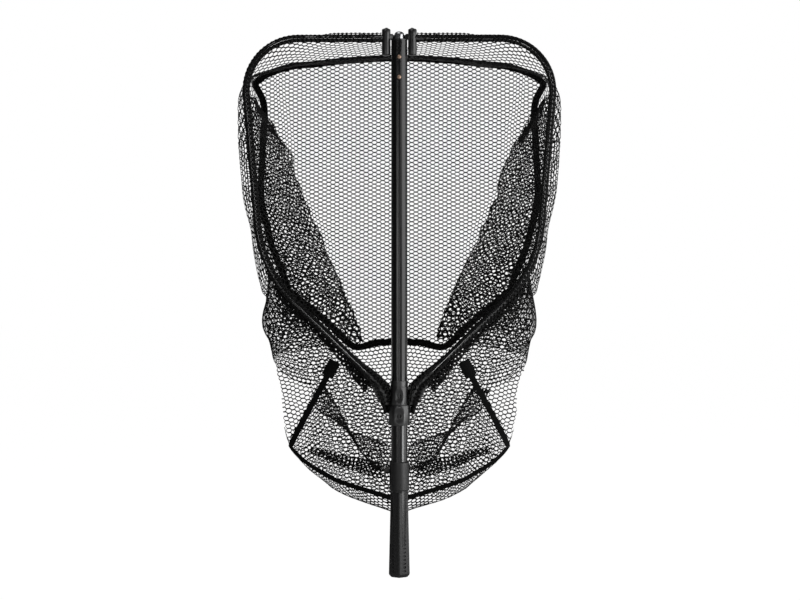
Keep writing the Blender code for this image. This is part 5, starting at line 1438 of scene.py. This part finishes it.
    def rear_tape(self) -> list[bpy.types.Object]:
        """The binding round the rear panel, in three lengths."""
        half = self.rear_outline(self.tape_width_mm / 2 - 1.0)
        out = Vector((0, 1, 0))
        y = mm(303.0)
        pieces = []
        limit = mm(self.middle_mm)
        for side in Side:
            pts = [Vector((side.value * p.x, y, p.y)) for p in half]
            for zone, part in split_path(pts, limit):
                where = Zone(side.value) if zone else Zone.MIDDLE
                piece = self.tape(f"rear_tape_{side.word}_{len(pieces)}", [(p, out) for p in part],
                                  self.tape_width_mm + 2.5, 1.2)
                pieces.append(self.settle(piece, where, "tape_rear"))
        return pieces

    def front_tape(self) -> list[bpy.types.Object]:
        """The binding of the lower bag on both sides, and the patches at its upper ends."""
        pieces = []
        limit = mm(self.middle_mm)
        for side in Side:
            places = [(11.0, depth) for depth in spread(0.24, 1.0, 18)]
            places += [(place, 1.0) for place in spread(11.0, LAST_STATION, 30)[1:]]
            path = [(self.skin.point(side, *place), self.skin.normal(side, *place)) for place in places]
            last, normal = path[-1]
            path[-1] = (Vector((0.0, last.y, last.z)), Vector((0.0, normal.y, normal.z)).normalized())
            points = [point for point, _ in path]
            start = 0
            for outer, part in split_path(points, limit):
                count = len(part)
                normals = [nearest_normal(path, point) for point in part]
                where = Zone(side.value) if outer else Zone.MIDDLE
                piece = self.tape(f"front_tape_{side.word}_{start}", list(zip(part, normals)),
                                  self.tape_width_mm, 2.4)
                start += count
                pieces.append(self.settle(piece, where, "tape_front"))
            patch_path = [(self.skin.point(side, 11.0, depth), self.skin.normal(side, 11.0, depth))
                          for depth in spread(0.12, 0.25, 4)]
            patch = self.tape("arm_patch_sewn_" + side.word, patch_path, 24.0, 2.6)
            pieces.append(self.settle(patch, Zone(side.value), "arm_patch_" + side.word))
        return pieces

    def dress(self) -> list[bpy.types.Object]:
        """Make the whole bag.

        Returns:
            The new pieces.
        """
        return [*self.panels(), *self.rear_panel(), *self.rear_tape(), *self.front_tape(), *self.folds()]

    def inside_skin(self, side: Side, place: float, depth: float, distance_mm: float) -> Vector:
        """A point at a distance inside the bag's skin."""
        return self.skin.point(side, place, depth) - self.skin.normal(side, place, depth) * mm(distance_mm)

    def cloth_through(self, name: str, knots: Rows, steps: tuple[int, int], reach_mm: float,
                      seed: float) -> bpy.types.Object:
        """A smooth sheet through a grid of points, with some slack away from its edges."""
        rows = []
        for down in spread(0.0, len(knots) - 1, steps[0]):
            line = [through(column, down) for column in zip(*knots)]
            row = []
            for along in spread(0.0, len(line) - 1, steps[1]):
                point = through(line, along)
                ease = math.sin(math.pi * along / (len(line) - 1))
                row.append(point + slack(point, reach_mm * ease, 30.0, seed))
            rows.append(row)
        return surface(name, rows)

    def folds(self) -> list[bpy.types.Object]:
        """The slack inside the bag: a deep pleat on each side, and the layer that drapes in the pouch."""
        pieces = []
        for side in Side:
            knots = []
            for index, (x, z) in enumerate(self.fold_tips):
                place = min(4 + index / 2, 9.0 + 0.2 * (index - 10))
                knots.append([self.inside_skin(side, place, 1.0, 2.0),
                              self.inside_skin(side, place, 1.0, 15.0),
                              at(side.value * (x + 7), 178, z), at(side.value * x, 185, z),
                              at(side.value * (x + 7), 192, z), self.inside_skin(side, place, 2.5, 15.0),
                              self.inside_skin(side, place, 2.5, 2.0)])
            base = self.cloth_through("fold_base", knots, (72, 72), 8.0, 31.0 + side.value)
            piece = self.netting.grow("folded_netting_" + side.word, base, ["net_side_" + side.word],
                                      "folded", phase=(1.7, 3.3), gauge=FOLDED)
            discard(base)
            pieces.append(self.settle(piece, Zone(side.value), "net_fold_" + side.word))
            pieces += [*self.drape(side), self.pleat(side)]
        return pieces

    def pleat(self, side: Side) -> bpy.types.Object:
        """The slack of the lower bag, gathered in a pleat that runs just above its front binding."""
        rows = []
        for share in spread(0.0, len(self.pleat_places) - 1, 40):
            middle = through([Vector(pair) for pair in self.pleat_places], share)
            half = mix(0.04, 0.085, share / (len(self.pleat_places) - 1))
            row = []
            for step in spread(-1.0, 1.0, 24):
                ripple = 4.0 * math.sin(step * 9.0 + share * 1.7)
                row.append(self.inside_skin(side, middle.x, middle.y + half * step, 7.0 + ripple))
            rows.append(row)
        base = surface("pleat_base", rows)
        piece = self.netting.grow("pleated_netting_" + side.word, base, ["net_apron_" + side.word],
                                  "gathered", self.limits(Zone(side.value)), (0.7, 1.9), GATHERED_OUTER)
        discard(base)
        return self.settle(piece, Zone(side.value))

    def drape(self, side: Side) -> list[bpy.types.Object]:
        """The layer inside the pouch on one side, its edge turned back over itself."""
        knots, edges = [], []
        for index, (x, z) in enumerate(self.drape_edge):
            place = mix(11.0, 12.8, index / (len(self.drape_edge) - 1))
            top, leaves = (self.inside_skin(side, place, 0.5, distance) for distance in (2.0, 15.0))
            edge = at(side.value * x, 150, z)
            inward = (leaves - edge).normalized()
            turned = edge + inward * mm(16.0) + at(0, 6, 0)
            knots.append([top, leaves, leaves.lerp(edge, 0.5), edge.lerp(turned, 0.2) - at(0, 6, 0),
                          edge, turned])
            edges.append((edge, inward))
        base = self.cloth_through("drape_base", knots, (40, 40), 5.0, 51.0 + side.value)
        pieces = []
        for zone in (Zone(side.value), Zone.MIDDLE):
            tag = "_middle_" if zone is Zone.MIDDLE else "_"
            piece = self.netting.grow("draped_netting" + tag + side.word, base, ["net_apron_" + side.word],
                                      "hung", self.limits(zone), (2.9, 1.1), FOLDED)
            pieces.append(self.settle(piece, zone, "net_drape_" + side.word))
        discard(base)
        return [*pieces, self.rolled_edge(side, edges)]

    def rolled_edge(self, side: Side, edges: Sequence[tuple[Vector, Vector]]) -> bpy.types.Object:
        """The draped layer's edge, rolled up on itself in small waves.

        Args:
            side: Which half.
            edges: Places on the edge, each with the direction into the layer.

        Returns:
            The roll.
        """
        rows = []
        for share in spread(0.0, len(edges) - 1, 48):
            edge, inward = (through([pair[part] for pair in edges], share) for part in (0, 1))
            wide = mix(19.0, 13.0, share / (len(edges) - 1))
            rows.append([edge + inward * mm(wide * step - 3.0)
                         + at(0, 12 + 3.5 * math.sin(step * 15 + share * 2), 0)
                         for step in spread(0.0, 1.0, 26)])
        base = surface("roll_base", rows)
        piece = self.netting.grow("rolled_netting_" + side.word, base, ["net_apron_" + side.word],
                                  "gathered", self.limits(Zone(side.value)), (1.3, 0.6), GATHERED_ARM)
        discard(base)
        return self.settle(piece, Zone(side.value))


def nearest_normal(path: Sequence[tuple[Vector, Vector]], point: Vector) -> Vector:
    """The outward direction at the point of a path that lies nearest."""
    return min(path, key=lambda pair: (pair[0] - point).length)[1]


def split_path(points: Sequence[Vector], limit: float) -> list[tuple[bool, list[Vector]]]:
    """Cut a path where it crosses a distance from the middle plane.

    Args:
        points: The path.
        limit: The distance in metres.

    Returns:
        The parts in order, each with whether it lies beyond the distance.
    """
    parts: list[tuple[bool, list[Vector]]] = [(abs(points[0].x) >= limit, [points[0]])]
    for before, after in zip(points, points[1:]):
        outer = abs(after.x) >= limit
        if outer != parts[-1][0]:
            share = (limit - abs(before.x)) / (abs(after.x) - abs(before.x))
            crossing = before.lerp(after, share)
            parts[-1][1].append(crossing)
            parts.append((outer, [crossing]))
        parts[-1][1].append(after)
    return [(outer, part) for outer, part in parts if len(part) > 1]


def inside(polygon: Sequence[Vector], x: float, z: float) -> bool:
    """Whether a point lies inside a closed outline."""
    found = False
    for a, b in zip(polygon, [*polygon[1:], polygon[0]]):
        if (a.y > z) != (b.y > z) and x < (b.x - a.x) * (z - a.y) / (b.y - a.y) + a.x:
            found = not found
    return found


@dataclass
class Studio:
    """A pale floor, soft lamps and the camera at the photograph's angle."""

    camera_distance_mm: float = 3466.7
    camera_x_mm: float = 1.4
    camera_z_mm: float = 540.0
    lens_mm: float = 80.0
    floor_z_mm: float = -1.0

    def build(self) -> None:
        """Set up the view, the world, the floor and the lamps."""
        scene = bpy.context.scene
        scene.view_settings.view_transform = "Standard"
        camera = bpy.data.cameras.new("camera")
        camera.lens = self.lens_mm
        camera.sensor_width = 36.0
        camera.clip_end = 100.0
        holder = bpy.data.objects.new("camera", camera)
        holder.location = at(self.camera_x_mm, -self.camera_distance_mm, self.camera_z_mm)
        holder.rotation_euler = (math.pi / 2, 0, 0)
        scene.collection.objects.link(holder)
        scene.camera = holder
        self.world()
        self.floor()
        self.lamp("side_softbox", at(2600, -1100, 800), at(0, -200, 700), 5.0, 2.6, 88.0)
        self.lamp("front_strip", at(-1300, -3300, 700), at(0, 0, 600), 0.25, 1.2, 5.0)
        self.lamp("front_bar", at(-60, -3440, 470), at(0, 0, 470), 0.45, 0.25, 4.0)
        self.lamp("low_strip", at(1230, -860, 137), at(0, 0, 250), 0.7, 0.10, 3.5)
        self.lamp("top_softbox", at(-400, -900, 2900), at(0, 0, 560), 1.6, 1.6, 12.0)

    def lamp(self, name: str, place: Vector, target: Vector, width: float, height: float,
             power: float) -> None:
        """One rectangular softbox aimed at a point."""
        light = bpy.data.lights.new(name, "AREA")
        light.shape = "RECTANGLE"
        light.size = width
        light.size_y = height
        light.energy = power
        holder = bpy.data.objects.new(name, light)
        holder.location = place
        holder.rotation_euler = (target - place).to_track_quat("-Z", "Y").to_euler()
        bpy.context.scene.collection.objects.link(holder)

    def world(self) -> None:
        """A white backdrop to the eye and to gloss, and a dim grey room to the object."""
        world = bpy.data.worlds.new("studio")
        world.use_nodes = True
        tree = world.node_tree
        tree.nodes.clear()
        path = add_node(tree, "ShaderNodeLightPath")
        direct = add_node(tree, "ShaderNodeMath",
                          {0: path.outputs["Is Camera Ray"], 1: path.outputs["Is Transmission Ray"]},
                          operation="MAXIMUM")
        room_place = add_node(tree, "ShaderNodeTexCoord").outputs["Generated"]
        way = add_node(tree, "ShaderNodeSeparateXYZ", {0: room_place})
        behind = add_node(tree, "ShaderNodeMapRange", {0: way.outputs[1], 1: 0.6, 2: 0.97, 3: 0.0, 4: 1.0})
        gloss = add_node(tree, "ShaderNodeMath", {0: path.outputs["Is Glossy Ray"], 1: behind},
                         operation="MULTIPLY")
        seen = add_node(tree, "ShaderNodeMath", {0: direct, 1: gloss}, operation="MAXIMUM")
        room = add_node(tree, "ShaderNodeBackground", {"Color": linear("#ffffff"), "Strength": 0.05})
        white = add_node(tree, "ShaderNodeBackground", {"Color": linear("#ffffff"), "Strength": 1.0})
        both = add_node(tree, "ShaderNodeMixShader", {0: seen, 1: room, 2: white})
        add_node(tree, "ShaderNodeOutputWorld", {0: both})
        bpy.context.scene.world = world

    def floor(self) -> None:
        """A pale floor that keeps a faint shadow."""
        mesh = bpy.data.meshes.new("floor")
        z = mm(self.floor_z_mm)
        mesh.from_pydata([(-30, -30, z), (30, -30, z), (30, 30, z), (-30, 30, z)], [], [(0, 1, 2, 3)])
        material = bpy.data.materials.new("floor_paper")
        material.use_nodes = True
        tree = material.node_tree
        shader = tree.nodes["Principled BSDF"]
        shader.inputs["Base Color"].default_value = linear("#e8e8e8")
        shader.inputs["Roughness"].default_value = 0.9
        glow = add_node(tree, "ShaderNodeEmission", {"Color": linear("#ffffff"), "Strength": 1.07})
        path = add_node(tree, "ShaderNodeLightPath")
        direct = add_node(tree, "ShaderNodeMath",
                          {0: path.outputs["Is Camera Ray"], 1: path.outputs["Is Transmission Ray"]},
                          operation="MAXIMUM")
        position = add_node(tree, "ShaderNodeNewGeometry").outputs["Position"]
        place = add_node(tree, "ShaderNodeSeparateXYZ", {0: position})
        behind = add_node(tree, "ShaderNodeMapRange", {0: place.outputs[1], 1: 1.0, 2: 3.0, 3: 0.0, 4: 1.0})
        gloss = add_node(tree, "ShaderNodeMath", {0: path.outputs["Is Glossy Ray"], 1: behind},
                         operation="MULTIPLY")
        seen = add_node(tree, "ShaderNodeMath", {0: direct, 1: gloss}, operation="MAXIMUM")
        share = add_node(tree, "ShaderNodeMath", {0: seen, 1: 0.93}, operation="MULTIPLY")
        both = add_node(tree, "ShaderNodeMixShader", {0: share, 1: shader, 2: glow})
        tree.links.new(both.outputs[0], tree.nodes["Material Output"].inputs[0])
        floor = mesh_object("floor", mesh, material)


def main() -> None:
    """Dress the net, light it and report each piece."""
    logging.basicConfig(level=logging.INFO, format="%(message)s")
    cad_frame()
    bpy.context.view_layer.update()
    finishes = Finishes()
    netting = NettingTree(finishes.of(COATED_NETTING))
    Studio().build()
    assemblies = [Handle(finishes), SnapButtons(finishes), Head(finishes)]
    assemblies += [HalfHoop(side, finishes, netting) for side in Side]
    assemblies.append(Bag(finishes, netting))
    for assembly in assemblies:
        for piece in assembly.dress():
            LOG.info("%s: %d faces", piece.name, len(piece.data.polygons))


if __name__ == "__main__":
    main()
